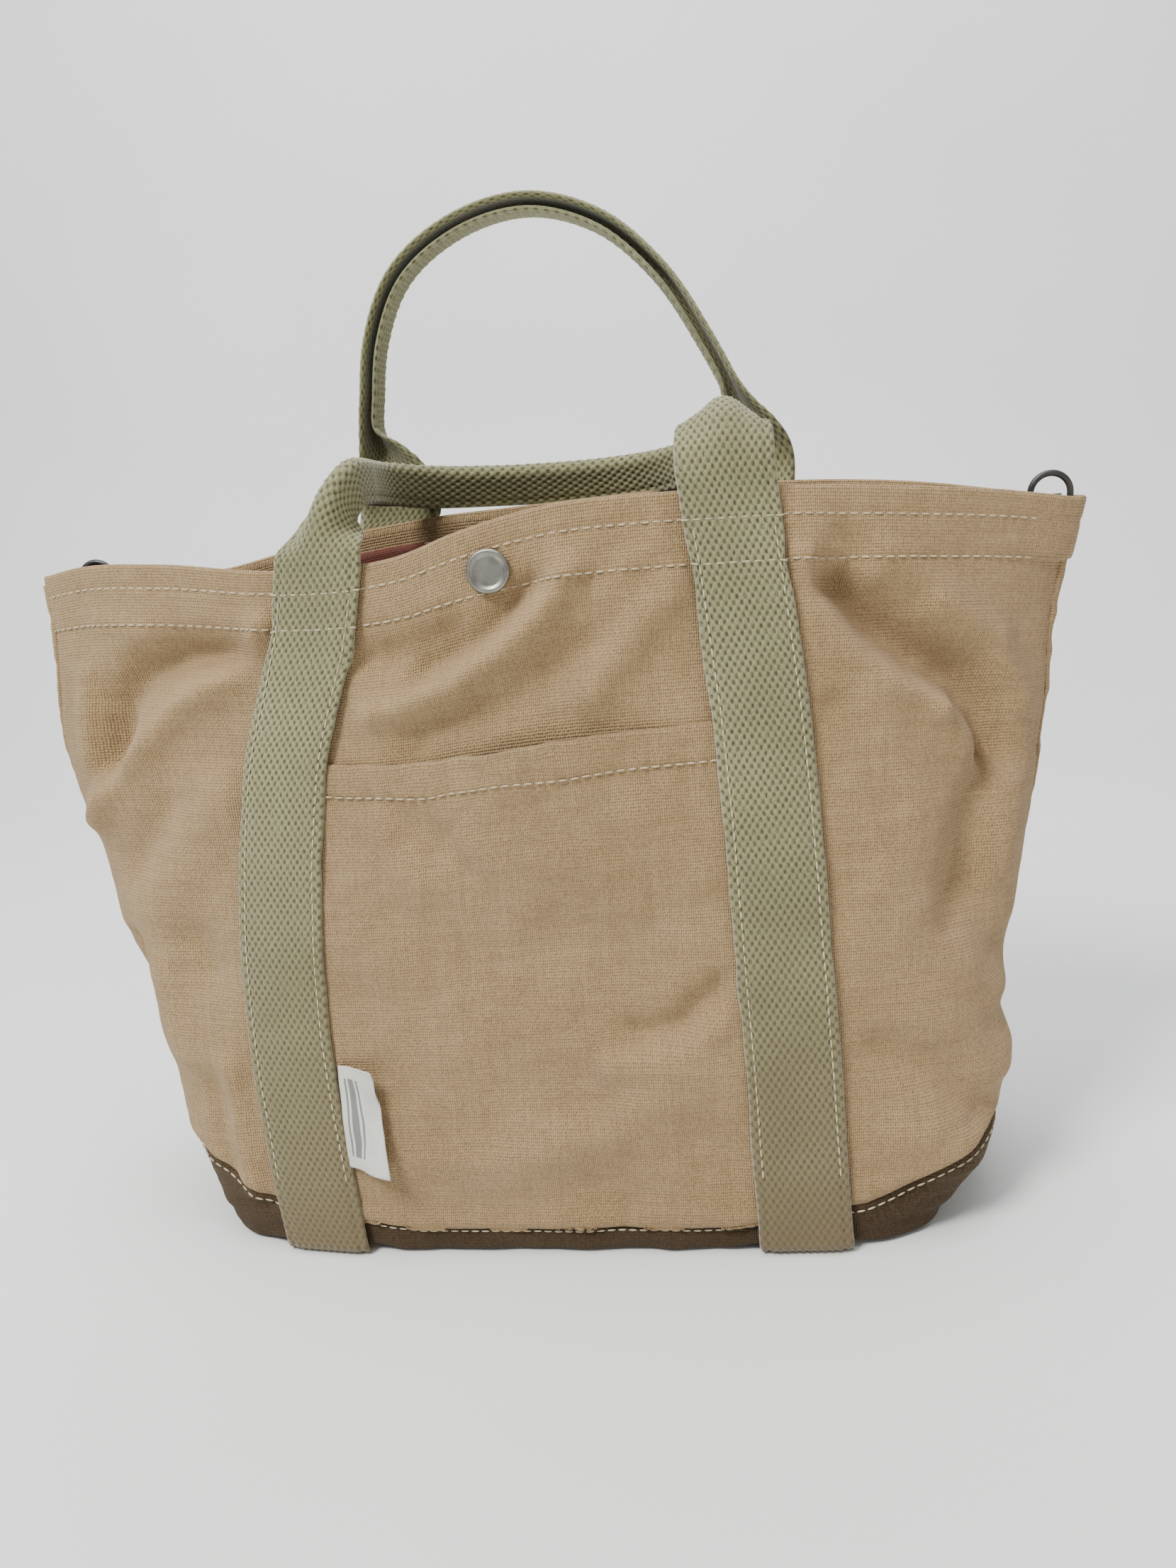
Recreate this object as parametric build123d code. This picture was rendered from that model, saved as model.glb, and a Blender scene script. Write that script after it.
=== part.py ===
"""Canvas tote bag: boxed canvas body, webbing straps with two folded grips, patch pocket, snap and rings.

Millimetres, +Z up, the front faces -Y. The origin is the middle of the standing face.
The wall is a stack of superellipse outlines: a rounded rectangle at the base, a pointed lens at the rim.
"""
from build123d import *
import math
import os

# Body of the bag
RIM_HEIGHT = 300.0
BASE_HALF_WIDTH = 150.0
BASE_HALF_DEPTH = 75.0
RIM_HALF_WIDTH = 225.0
RIM_HALF_DEPTH = 45.0
BASE_SQUARENESS = 6.0
RIM_SQUARENESS = 1.55
FLARE = 0.6
CANVAS = 1.2
LINING = 0.8
LINING_GAP = 0.25
SEAM_GAP = 0.3
BASE_SKIRT_TOP = 20.0
HEM_DEPTH = 25.0
HEM_GAP = 0.3

# Webbing
WEBBING_WIDTH = 38.0
WEBBING = 2.5
STRAP_MID_HEIGHT = 140.0
STRAP_CLEARANCE = 2.6
WEB_GAP = 4.0
# Middle line of each strap across the bag: at the base, at mid height and at the rim
STRAP_LINES = {
    "front_left": (-107.0, -113.0, -84.0),
    "front_right": (97.0, 93.0, 81.0),
    "back_left": (-107.0, -96.0, -81.0),
    "back_right": (97.0, 97.0, 91.0),
}

# Grips
FRONT_CREASE_HEIGHT = 326.0
REAR_CREASE_HEIGHT = 338.0
CREASE_HALF_DEPTH = 40.0
GRIP_START = 8.0
GRIP_HALF_WIDTH = 82.0
GRIP_SHOULDER = (62.0, 66.0)
GRIP_CORNER = (30.0, 98.0)
GRIP_LEG = 30.0
GRIP_BEND_RADIUS = 42.0
GRIP_RADIAL = 11.0
GRIP_BREADTH = 16.0

# Patch pocket
POCKET_TOP = 215.0
POCKET_EDGE_TUCK = 11.0
POCKET_EASE = 9.0
POCKET_EASE_HALF_WIDTH = 62.0

# Snap fastener
SNAP_X = -13.0
SNAP_DROP = 16.0
SNAP_STAND_OFF = 0.45
SNAP_CAP_RADIUS = 8.8
SNAP_CAP_HEIGHT = 2.6
SNAP_SOCKET_RADIUS = 6.5
SNAP_SOCKET_HEIGHT = 3.0
SNAP_STUD_RADIUS = 2.2
SNAP_STUD_HEIGHT = 3.2
SNAP_FLANGE_RADIUS = 6.5
SNAP_FLANGE = 1.0

# D-rings and their tabs
LEFT_RING_X = -200.0
LEFT_RING_BAR_HEIGHT = 288.0
RIGHT_RING_X = 209.0
RIGHT_RING_BAR_HEIGHT = 292.0
RING_HALF_WIDTH = 7.7
RING_LEG = 3.0
RING_ROD_RADIUS = 1.3
TAB_HALF_WIDTH = 4.0
TAB_THICKNESS = 1.0
TAB_LEG = 15.0
SIDE_SEAM_TOP = 268.0
TAB_BORE_RADIUS = 1.6

# Label
LABEL_FOOT = 40.0
LABEL_HEIGHT = 43.0
LABEL_REACH = 18.0
LABEL_THICKNESS = 0.8
LABEL_STAND_OFF = 6.5

OUTLINE_STEPS = 22
CROSS_STEPS = 6
POCKET_STEPS = 12


def mix(low, high, share):
    """Value the given share of the way from low to high."""
    return low + (high - low) * share


def outline_size(height):
    """Half width, half depth and squareness of the wall's outer outline at a height."""
    share = height / RIM_HEIGHT
    half_width = mix(BASE_HALF_WIDTH, RIM_HALF_WIDTH, share ** FLARE)
    half_depth = mix(BASE_HALF_DEPTH, RIM_HALF_DEPTH, share)
    squareness = mix(RIM_SQUARENESS, BASE_SQUARENESS, (1 - share) ** 2)
    return half_width, half_depth, squareness


def outline_point(angle, height, inset=0.0):
    """Point of the outline in the direction of an angle, moved inwards by the inset."""
    half_width, half_depth, squareness = outline_size(height)
    across, along = math.sin(angle), math.cos(angle)
    reach = (abs(across) ** squareness + abs(along) ** squareness) ** (-1 / squareness)
    return ((half_width - inset) * along * reach, -(half_depth - inset) * across * reach, height)


def wall_depth(x, height):
    """Distance of the wall's outer face from the middle plane at a place across the bag."""
    half_width, half_depth, squareness = outline_size(min(height, RIM_HEIGHT))
    share = min(abs(x) / half_width, 1.0)
    return half_depth * (1 - share ** squareness) ** (1 / squareness)


def strip_wire(outer, inner):
    """Closed wire of two smooth edges joined by straight ends."""
    edges = [Edge.make_spline([Vector(*point) for point in outer])]
    edges.append(Edge.make_line(outer[-1], inner[-1]))
    edges.append(Edge.make_spline([Vector(*point) for point in reversed(inner)]))
    edges.append(Edge.make_line(inner[0], outer[0]))
    return Wire(edges)


def levels(low, high, count):
    """Evenly spaced heights from low to high."""
    return [mix(low, high, step / (count - 1)) for step in range(count)]


def crowded_angles(low, high):
    """Angles from low to high that crowd towards both ends, where the outline turns sharply."""
    shares = [(1 - math.cos(math.pi * step / OUTLINE_STEPS)) / 2 for step in range(OUTLINE_STEPS + 1)]
    return [mix(low, high, share) for share in shares]


def half_shell(low, high, inset, thickness, gap=SEAM_GAP, count=7):
    """Front half of the wall between two heights, as cloth of the given thickness."""
    wires = []
    for height in levels(low, high, count):
        start = math.atan(gap / outline_size(height)[1])
        angles = crowded_angles(start, math.pi - start)
        outer = [outline_point(angle, height, inset) for angle in angles]
        inner = [outline_point(angle, height, inset + thickness) for angle in angles]
        wires.append(strip_wire(outer, inner))
    return Solid.make_loft(wires)


def full_loop(height, inset):
    """Closed outline of the bag at a height."""
    steps = 2 * OUTLINE_STEPS
    points = [outline_point(2 * math.pi * step / steps, height, inset) for step in range(steps)]
    return Wire([Edge.make_spline([Vector(*point) for point in points], periodic=True)])


def tray(low, high, inset, thickness):
    """Open tray that closes the bottom of the bag."""
    outside = Solid.make_loft([full_loop(height, inset) for height in levels(low, high, 4)])
    hollow = levels(low + thickness, high + 1, 4)
    inside = Solid.make_loft([full_loop(height, inset + thickness) for height in hollow])
    return outside - inside


def across_wall(low_x, high_x, height, offset):
    """Points across the front wall at a height, standing off it by a number or a function of x."""
    points = []
    for step in range(CROSS_STEPS + 1):
        x = mix(low_x, high_x, step / CROSS_STEPS)
        stand_off = offset(x) if callable(offset) else offset
        points.append((x, -wall_depth(x, height) - stand_off, height))
    return points


def strap_x(strap, height):
    """Place of a strap's middle line across the bag at a height."""
    base, middle, rim = STRAP_LINES[strap]
    if height < STRAP_MID_HEIGHT:
        share = height / STRAP_MID_HEIGHT
        return mix(base, middle, share * (2 - share))
    share = min((height - STRAP_MID_HEIGHT) / (RIM_HEIGHT - STRAP_MID_HEIGHT), 1.0)
    return mix(middle, rim, share ** 1.5)


def free_web_wire(height, rim_x, crease_height):
    """Section of the free webbing above the rim, which leans in towards the crease."""
    share = (height - RIM_HEIGHT) / (crease_height - RIM_HEIGHT)
    start = wall_depth(rim_x, RIM_HEIGHT) + STRAP_CLEARANCE + WEBBING / 2
    middle = mix(start, CREASE_HALF_DEPTH, share)
    half = WEBBING_WIDTH / 2
    xs = [rim_x + mix(-half, half, step / CROSS_STEPS) for step in range(CROSS_STEPS + 1)]
    outer = [(x, -middle - WEBBING / 2, height) for x in xs]
    inner = [(x, -middle + WEBBING / 2, height) for x in xs]
    return strip_wire(outer, inner)


def front_strap(middle_line, crease_height):
    """Webbing sewn up the front, with its free flat end above the rim."""
    half = WEBBING_WIDTH / 2
    wires = []
    for height in levels(WEBBING, RIM_HEIGHT, 9):
        middle = middle_line(height)
        outer = across_wall(middle - half, middle + half, height, STRAP_CLEARANCE + WEBBING)
        inner = across_wall(middle - half, middle + half, height, STRAP_CLEARANCE)
        wires.append(strip_wire(outer, inner))
    sewn = Solid.make_loft(wires, ruled=True)
    top = free_web_wire(crease_height - WEB_GAP, middle_line(RIM_HEIGHT), crease_height)
    return sewn + Solid.make_loft([wires[-1], top], ruled=True)


def under_strap(base_x):
    """Webbing that passes under the base and joins a front strap to a back strap."""
    depth = wall_depth(base_x, WEBBING) + STRAP_CLEARANCE + WEBBING
    return Pos(base_x, 0, WEBBING / 2) * Box(WEBBING_WIDTH, 2 * depth, WEBBING)


def pocket_stand_off(height):
    """Stand-off of the pocket's inner face, which gapes in the middle of its mouth."""
    lift = POCKET_EASE * ((height - BASE_SKIRT_TOP) / (POCKET_TOP - BASE_SKIRT_TOP)) ** 2

    def stand_off(x):
        share = min(abs(x) / POCKET_EASE_HALF_WIDTH, 1.0)
        return 0.1 + lift * (1 - share ** 2) ** 2
    return stand_off


def front_pocket():
    """Patch pocket on the front, its side edges tucked under the straps."""
    wires = []
    for height in levels(BASE_SKIRT_TOP, POCKET_TOP, 6):
        left = strap_x("front_left", height) + POCKET_EDGE_TUCK
        right = strap_x("front_right", height) - POCKET_EDGE_TUCK
        gap = pocket_stand_off(height)
        xs = [mix(left, right, step / POCKET_STEPS) for step in range(POCKET_STEPS + 1)]
        inner = [(x, -wall_depth(x, height) - gap(x), height) for x in xs]
        outer = [(x, y - CANVAS, z) for x, y, z in inner]
        wires.append(strip_wire(outer, inner))
    return Solid.make_loft(wires)


def grip_path():
    """Arch of a grip in the XZ plane, from one crease to the other, as runs joined by arcs."""
    half_arch = [(GRIP_HALF_WIDTH, GRIP_START), (GRIP_HALF_WIDTH, GRIP_LEG), GRIP_SHOULDER, GRIP_CORNER]
    left = [(-x, 0, z) for x, z in half_arch]
    right = [(x, 0, z) for x, z in reversed(half_arch)]
    return FilletPolyline(*left, *right, radius=GRIP_BEND_RADIUS)


def grip():
    """Webbing folded lengthwise into a soft oval bar."""
    path = grip_path()
    section = Plane(path @ 0, z_dir=path % 0) * Ellipse(GRIP_RADIAL / 2, GRIP_BREADTH / 2)
    return sweep(section, path=path, transition=Transition.ROUND)


def snap_place(x):
    """Place on the front wall's outer face, with the local Z axis along its outward normal."""
    height = RIM_HEIGHT - SNAP_DROP
    lean = math.degrees(math.atan((BASE_HALF_DEPTH - RIM_HALF_DEPTH) / RIM_HEIGHT))
    return Pos(x, -wall_depth(x, height) - SNAP_STAND_OFF, height) * Rot(X=90 - lean)


def snap_cap():
    """Shallow domed cap with a rolled edge."""
    dome = Cylinder(SNAP_CAP_RADIUS, SNAP_CAP_HEIGHT, align=(Align.CENTER, Align.CENTER, Align.MIN))
    return fillet(dome.edges().group_by(Axis.Z)[-1], radius=1.6)


def snap_socket():
    """Ring with a hole that takes the stud."""
    body = Cylinder(SNAP_SOCKET_RADIUS, SNAP_SOCKET_HEIGHT, align=(Align.CENTER, Align.CENTER, Align.MAX))
    return body - Pos(Z=-SNAP_SOCKET_HEIGHT) * Cylinder(
        SNAP_STUD_RADIUS + 0.2, 2 * (SNAP_STUD_HEIGHT - 0.6), align=Align.CENTER)


def snap_stud():
    """Flange with a round-nosed stud."""
    flange = Cylinder(SNAP_FLANGE_RADIUS, SNAP_FLANGE, align=(Align.CENTER, Align.CENTER, Align.MAX))
    nose = Pos(Z=-SNAP_FLANGE) * Cylinder(
        SNAP_STUD_RADIUS, SNAP_STUD_HEIGHT, align=(Align.CENTER, Align.CENTER, Align.MAX))
    return fillet((flange + nose).edges().group_by(Axis.Z)[0], radius=0.8)


def d_ring():
    """Round rod bent to a D, its straight bar along X and its bow upwards."""
    top = RING_LEG + RING_HALF_WIDTH
    bow = ThreePointArc((-RING_HALF_WIDTH, 0, RING_LEG), (0, 0, top), (RING_HALF_WIDTH, 0, RING_LEG))
    left_leg = Line((-RING_HALF_WIDTH, 0, 0), (-RING_HALF_WIDTH, 0, RING_LEG))
    right_leg = Line((RING_HALF_WIDTH, 0, RING_LEG), (RING_HALF_WIDTH, 0, 0))
    path = Curve() + [left_leg, bow, right_leg]
    hoop = sweep(Plane((-RING_HALF_WIDTH, 0, 0)) * Circle(RING_ROD_RADIUS), path=path)
    bar = Rot(Y=90) * Cylinder(RING_ROD_RADIUS, 2 * RING_HALF_WIDTH)
    ends = [Pos(X=side * RING_HALF_WIDTH) * Sphere(RING_ROD_RADIUS) for side in (-1, 1)]
    return hoop + bar + ends[0] + ends[1]


def ring_tab():
    """Strip of tape folded over the ring's bar, its two legs hanging inside the side seam."""
    outer = TAB_BORE_RADIUS + TAB_THICKNESS
    width = 2 * TAB_HALF_WIDTH
    fold = Rot(Y=90) * Cylinder(outer, width)
    legs = Box(width, 2 * outer, TAB_LEG, align=(Align.CENTER, Align.CENTER, Align.MAX))
    bore = Rot(Y=90) * Cylinder(TAB_BORE_RADIUS, 2 * width)
    slot = Box(2 * width, 2 * TAB_BORE_RADIUS, 2 * TAB_LEG, align=(Align.CENTER, Align.CENTER, Align.MAX))
    return fold + legs - bore - slot


def side_seam(side):
    """Bound seam allowance that stands inwards along the side seam."""
    wires = []
    for height in levels(BASE_SKIRT_TOP, SIDE_SEAM_TOP, 9):
        reach = side * outline_size(height)[0]
        corners = [(reach - side * 10, -0.7), (reach - side * 4, -0.7), (reach - side * 4, 0.7),
                   (reach - side * 10, 0.7)]
        wires.append(Wire.make_polygon([(x, y, height) for x, y in corners]))
    return Solid.make_loft(wires, ruled=True)


def label():
    """Folded woven label that stands out of the left strap's inner edge."""
    root = strap_x("front_left", LABEL_FOOT + LABEL_HEIGHT / 2) + WEBBING_WIDTH / 2
    place = Pos(root + 1.6, -wall_depth(root, LABEL_FOOT + LABEL_HEIGHT / 2) - LABEL_STAND_OFF, LABEL_FOOT)
    return place * Box(LABEL_REACH, LABEL_THICKNESS, LABEL_HEIGHT, align=(Align.MIN, Align.CENTER, Align.MIN))


def base_panel():
    """Bottom of the bag with its low turned-up skirt."""
    return tray(WEBBING, BASE_SKIRT_TOP, 0.0, CANVAS)


def base_lining():
    """Flat lining on the bag's floor."""
    floor = WEBBING + CANVAS + 0.1
    return Solid.make_loft([full_loop(floor, 5.0), full_loop(floor + LINING, 5.0)])


def strap_nodes(to_back):
    """Front, back and under straps of both sides."""
    nodes = {}
    for side in ("left", "right"):
        front, back = "front_" + side, "back_" + side
        nodes["strap_" + front] = front_strap(lambda height: strap_x(front, height), FRONT_CREASE_HEIGHT)
        turned = front_strap(lambda height: -strap_x(back, height), REAR_CREASE_HEIGHT)
        nodes["strap_" + back] = to_back * turned
        nodes["strap_under_" + side] = under_strap(STRAP_LINES[front][0])
    return nodes


def side_nodes():
    """Side seams, with the tape tabs and D-rings at their tops."""
    nodes = {"left_side_seam": side_seam(-1), "right_side_seam": side_seam(1)}
    places = {
        "left": Pos(LEFT_RING_X, 0, LEFT_RING_BAR_HEIGHT),
        "right": Pos(RIGHT_RING_X, 0, RIGHT_RING_BAR_HEIGHT),
    }
    for side, place in places.items():
        nodes[side + "_ring_tab"] = place * ring_tab()
        nodes[side + "_d_ring"] = place * d_ring()
    return nodes


def snap_nodes(to_back):
    """Both halves of the snap: cap and socket in the front rim, cap and stud in the back rim."""
    front_face = snap_place(SNAP_X)
    back_face = to_back * snap_place(-SNAP_X)
    through_rim = Pos(Z=-2 * CANVAS - HEM_GAP - 2 * SNAP_STAND_OFF)
    return {
        "snap_cap": front_face * snap_cap(),
        "snap_socket": front_face * through_rim * snap_socket(),
        "snap_back_cap": back_face * snap_cap(),
        "snap_stud": back_face * through_rim * snap_stud(),
    }


def grip_middle(face):
    """Middle of a grip across the bag, halfway between the webs that it joins."""
    return (STRAP_LINES[face + "_left"][2] + STRAP_LINES[face + "_right"][2]) / 2


def build_nodes():
    """Every sub-part of the bag, by name."""
    to_back = Rot(Z=180)
    skin = CANVAS + 0.1
    nodes = {}
    nodes["front_panel"] = half_shell(BASE_SKIRT_TOP, RIM_HEIGHT, 0.0, CANVAS)
    nodes["front_hem"] = half_shell(RIM_HEIGHT - HEM_DEPTH, RIM_HEIGHT, CANVAS + HEM_GAP, CANVAS, gap=6.0, count=3)
    lining_top = RIM_HEIGHT - HEM_DEPTH - 0.5
    nodes["front_lining"] = half_shell(BASE_SKIRT_TOP, lining_top, skin + LINING_GAP, LINING, gap=2.0)
    nodes["back_panel"] = to_back * nodes["front_panel"]
    nodes["back_hem"] = to_back * nodes["front_hem"]
    nodes["back_lining"] = to_back * nodes["front_lining"]
    nodes["base_panel"] = base_panel()
    nodes["base_lining"] = base_lining()
    nodes["front_pocket"] = front_pocket()
    nodes["label"] = label()
    nodes.update(strap_nodes(to_back))
    nodes.update(side_nodes())
    nodes.update(snap_nodes(to_back))
    rear_place = Pos(grip_middle("back"), CREASE_HALF_DEPTH, REAR_CREASE_HEIGHT)
    front_place = Pos(grip_middle("front"), -CREASE_HALF_DEPTH, FRONT_CREASE_HEIGHT)
    nodes["rear_grip"] = rear_place * grip()
    nodes["front_grip"] = front_place * Rot(X=-90) * grip()
    return nodes


def write_nodes():
    """Write one STEP file for each sub-part."""
    os.makedirs("parts", exist_ok=True)
    for name, shape in build_nodes().items():
        export_step(shape, os.path.join("parts", name + ".step"))


write_nodes()
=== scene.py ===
"""Looks of a canvas tote bag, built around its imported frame."""
import functools
import math

import bmesh
import bpy
import numpy as np
from mathutils import Matrix, Vector


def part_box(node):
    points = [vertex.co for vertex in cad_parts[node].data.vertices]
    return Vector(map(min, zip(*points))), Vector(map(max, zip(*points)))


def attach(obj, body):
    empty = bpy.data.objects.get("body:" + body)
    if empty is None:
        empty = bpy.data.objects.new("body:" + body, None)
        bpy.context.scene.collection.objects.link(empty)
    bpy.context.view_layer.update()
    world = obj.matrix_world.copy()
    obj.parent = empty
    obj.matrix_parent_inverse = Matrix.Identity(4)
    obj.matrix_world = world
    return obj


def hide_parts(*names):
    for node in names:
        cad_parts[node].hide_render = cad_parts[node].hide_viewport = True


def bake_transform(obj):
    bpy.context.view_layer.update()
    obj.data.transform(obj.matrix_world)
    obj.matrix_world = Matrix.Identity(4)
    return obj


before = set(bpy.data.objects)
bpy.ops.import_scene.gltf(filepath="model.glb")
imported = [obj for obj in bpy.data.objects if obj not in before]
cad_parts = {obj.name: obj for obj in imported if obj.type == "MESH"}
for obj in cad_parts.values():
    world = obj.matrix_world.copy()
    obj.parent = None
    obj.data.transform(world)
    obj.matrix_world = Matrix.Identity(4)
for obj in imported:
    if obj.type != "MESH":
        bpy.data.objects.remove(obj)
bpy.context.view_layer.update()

bl_info = {
    "name": "Canvas Tote Bag",
    "version": (1, 0, 0),
    "blender": (4, 5, 0),
    "location": "View3D > Sidebar > Tote",
    "description": "Builds a boxed canvas tote bag with webbing straps around its frame",
    "category": "Object",
}

# Lengths are in metres unless a comment says otherwise
MM = 0.001
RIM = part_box("front_panel")[1].z
RIM_HALF_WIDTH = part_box("front_panel")[1].x
BASE_HALF_WIDTH = 150 * MM
BASE_HALF_DEPTH = 75 * MM
RIM_HALF_DEPTH = 45 * MM
# Squareness of the outline, from boxed at the base to pointed at the rim, and how early its ends flare
BASE_SQUARENESS, RIM_SQUARENESS = 6.0, 1.55
FLARE = 0.6
HALF_GIRTH = 225 * MM
SEAM_GAP = 0.4 * MM
# Depth below the rim of the hem's stitch rows and of its turned-in cloth
HEM_ROWS = (9 * MM, 25 * MM)
HEM_DEPTH = 25 * MM
FOLD_STRENGTH = 1.55
STRAP_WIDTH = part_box("strap_under_left")[1].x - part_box("strap_under_left")[0].x
# Share of the half girth that lining and seam threads reach
SEWN_SHARE = 0.985
PANEL_COLUMNS, PANEL_ROWS = 241, 178
POCKET_FOOT, POCKET_TOP = 11 * MM, 215 * MM
LABEL_SIZE = (0.018, 0.043)
# A strap's bend under the base, its stand above the floor, and the points that carry its line
STRAP_BEND, STRAP_GROUND = 4 * MM, 1.25 * MM
STRAP_CLIMB_ROWS, HANDLE_ROWS = 280, 480
WEBBING_TOP_COLUMNS, WEBBING_BACK_COLUMNS = 51, 14

# Middle line of each sewn strap: heights and places across the bag, in millimetres
STRAP_LINES = {
    "front_left": ((0, 60, 117, 178, 206, 283, 300), (-107, -113, -115.5, -111.5, -107.5, -86.5, -83.5)),
    "front_right": ((0, 118, 218, 300), (97, 93.5, 89, 81)),
    "back_left": ((0, 140, 300), (-107, -96, -76)),
    "back_right": ((0, 140, 300), (97, 98, 91)),
}
# Height of the rim at places across the bag, in millimetres
RIM_LINES = {
    -1: ((-222, -200, -160, -106, -70, -50, -27, 9, 61, 99, 155, 197, 219),
         (293, 296, 295, 289, 288.5, 291, 298, 305.5, 307, 306, 301, 296, 292)),
    1: ((-222, -180, -151, -130, -85, -55, -5, 60, 110, 163, 219),
        (293, 289, 289, 293, 301, 304, 306, 308, 307, 302, 292)),
}
# How far each end of the bag bellies out or draws in, in millimetres, by height
END_SWELL = {
    -1: ((0, 20, 48, 86, 124, 175, 201, 226, 252, 278, 300), (9, 11, 9, 8, 12, 13, 16, 15, 9, 3, 0)),
    1: ((0, 20, 40, 62, 90, 120, 180, 215, 250, 300), (2, 5, 9, 8, -2, -2, -3, -5, -7, -5)),
}
# Folds of the cloth: points across and up the wall, width and height, all in millimetres
SIDE_FOLDS = (
    (((110, 290), (121, 277), (134, 266)), 6.0, 2.6),
    (((124, 284), (138, 273), (152, 262)), 7.5, -3.4),
    (((107, 275), (116, 256), (127, 240), (141, 228), (158, 218)), 6.5, 4.4),
    (((122, 266), (136, 250), (152, 238), (170, 228), (180, 214), (183, 199)), 9.5, -9.5),
    (((158, 214), (170, 204), (175, 192)), 6.0, 3.6),
    (((141, 274), (162, 258), (182, 242), (195, 217)), 8.0, 4.2),
    (((133, 215), (142, 190), (146, 160)), 17.0, 2.8),
    (((119, 220), (132, 197), (139, 182)), 6.5, -2.6),
    (((176, 188), (168, 160), (160, 132)), 9.0, -4.0),
    (((191, 182), (184, 150)), 8.0, 3.0),
    (((133, 150), (156, 124), (180, 100)), 10.0, 3.0),
    (((172, 146), (180, 116)), 10.0, -3.0),
    (((131, 84), (153, 73), (172, 52)), 8.0, -3.4),
    (((146, 44), (178, 26)), 15.0, 3.2),
    (((150, 100), (176, 72)), 14.0, 3.0),
)
LEFT_FOLDS = (
    (((-124, 262), (-150, 262), (-174, 255), (-188, 240), (-194, 215)), 8.5, -7.0),
    (((-110, 276), (-126, 257), (-152, 240), (-186, 212), (-208, 188)), 7.5, 4.8),
    (((-204, 254), (-207, 234), (-208, 214)), 6.0, 2.6),
    (((-190, 276), (-170, 272)), 9.0, 1.8),
    (((-140, 200), (-160, 176), (-180, 150)), 12.0, 2.6),
    (((-168, 196), (-186, 170)), 8.0, -2.4),
    (((-198, 130), (-196, 100)), 7.0, -3.8),
    (((-158, 136), (-154, 124)), 9.0, -2.8),
    (((-180, 120), (-172, 84)), 9.0, 2.4),
    (((-147, 82), (-144, 48), (-140, 24)), 5.5, 2.6),
    (((-158, 70), (-152, 38)), 7.0, -2.2),
)
MIDDLE_FOLDS = (
    (((-77, 262), (-53, 261), (-30, 264)), 6.5, -2.6),
    (((-42, 252), (-14, 259), (4, 274)), 6.0, -3.6),
    (((-66, 236), (-34, 241), (-13, 252), (4, 262), (18, 276)), 7.5, 4.0),
    (((-50, 222), (-10, 232), (24, 250)), 8.0, -2.6),
    (((24, 232), (46, 256), (64, 272)), 8.5, 2.8),
    (((34, 268), (52, 284)), 7.0, 1.6),
    (((33, 96), (51, 100), (68, 114)), 6.5, -2.8),
    (((22, 82), (48, 84), (66, 98)), 6.5, 2.2),
    (((-74, 42), (-30, 40), (16, 52), (60, 82)), 12.0, 2.6),
    (((-20, 130), (16, 128)), 30.0, -3.4),
    (((-66, 190), (-52, 165)), 8.0, 1.6),
    (((-38, 182), (-22, 158)), 8.0, -1.6),
    (((40, 185), (60, 160)), 10.0, 1.8),
)


def mix(low, high, share):
    """Value the given share of the way from low to high."""
    return low + (high - low) * share


def smooth(share):
    """Soft step from 0 to 1."""
    share = np.clip(share, 0, 1)
    return share * share * (3 - 2 * share)


def curve_through(places, values, at):
    """Smooth curve through a few values, read at any places."""
    places, values = np.asarray(places, float), np.asarray(values, float)
    at = np.clip(at, places[0], places[-1])
    slopes = np.gradient(values, places, axis=0)
    first = np.clip(np.searchsorted(places, at) - 1, 0, len(places) - 2)
    span = places[first + 1] - places[first]
    share = (at - places[first]) / span
    if values.ndim > 1:
        share, span = share[:, None], span[:, None]
    rise = 3 * share ** 2 - 2 * share ** 3
    lead = share - 2 * share ** 2 + share ** 3
    trail = share ** 3 - share ** 2
    bend = span * (slopes[first] * lead + slopes[first + 1] * trail)
    return mix(values[first], values[first + 1], rise) + bend


def unit(vectors):
    """Vectors of length one."""
    return vectors / np.maximum(np.linalg.norm(vectors, axis=-1, keepdims=True), 1e-12)


def outline_size(height):
    """Half width, half depth and squareness of the wall at a height."""
    share = height / RIM
    half_width = mix(BASE_HALF_WIDTH, RIM_HALF_WIDTH, share ** FLARE)
    half_depth = mix(BASE_HALF_DEPTH, RIM_HALF_DEPTH, share)
    return half_width, half_depth, mix(RIM_SQUARENESS, BASE_SQUARENESS, (1 - share) ** 2)


def outline_row(height, count):
    """Evenly spaced points of the front half outline, from the left side seam to the right one."""
    half_width, half_depth, squareness = outline_size(height)
    edge = math.atan(SEAM_GAP / half_depth)
    crowd = (1 - np.cos(np.linspace(0, math.pi, 721))) / 2
    angle = mix(math.pi - edge, edge, crowd)
    along, across = np.cos(angle), np.sin(angle)
    reach = (np.abs(along) ** squareness + np.abs(across) ** squareness) ** (-1 / squareness)
    points = np.stack([half_width * along * reach, -half_depth * across * reach], 1)
    steps = np.linalg.norm(np.diff(points, axis=0), axis=1)
    length = np.concatenate([[0], np.cumsum(steps)])
    even = np.linspace(0, length[-1], count)
    return np.stack([np.interp(even, length, points[:, k]) for k in (0, 1)], 1)


def near_line(x, z, points):
    """Distance of places on the wall from a line of points, in millimetres."""
    nearest = np.full(np.shape(x), 1e9)
    for (ax, az), (bx, bz) in zip(points, points[1:]):
        dx, dz = bx - ax, bz - az
        share = np.clip(((x - ax) * dx + (z - az) * dz) / (dx * dx + dz * dz), 0, 1)
        nearest = np.minimum(nearest, np.hypot(x - ax - share * dx, z - az - share * dz))
    return nearest


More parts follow.
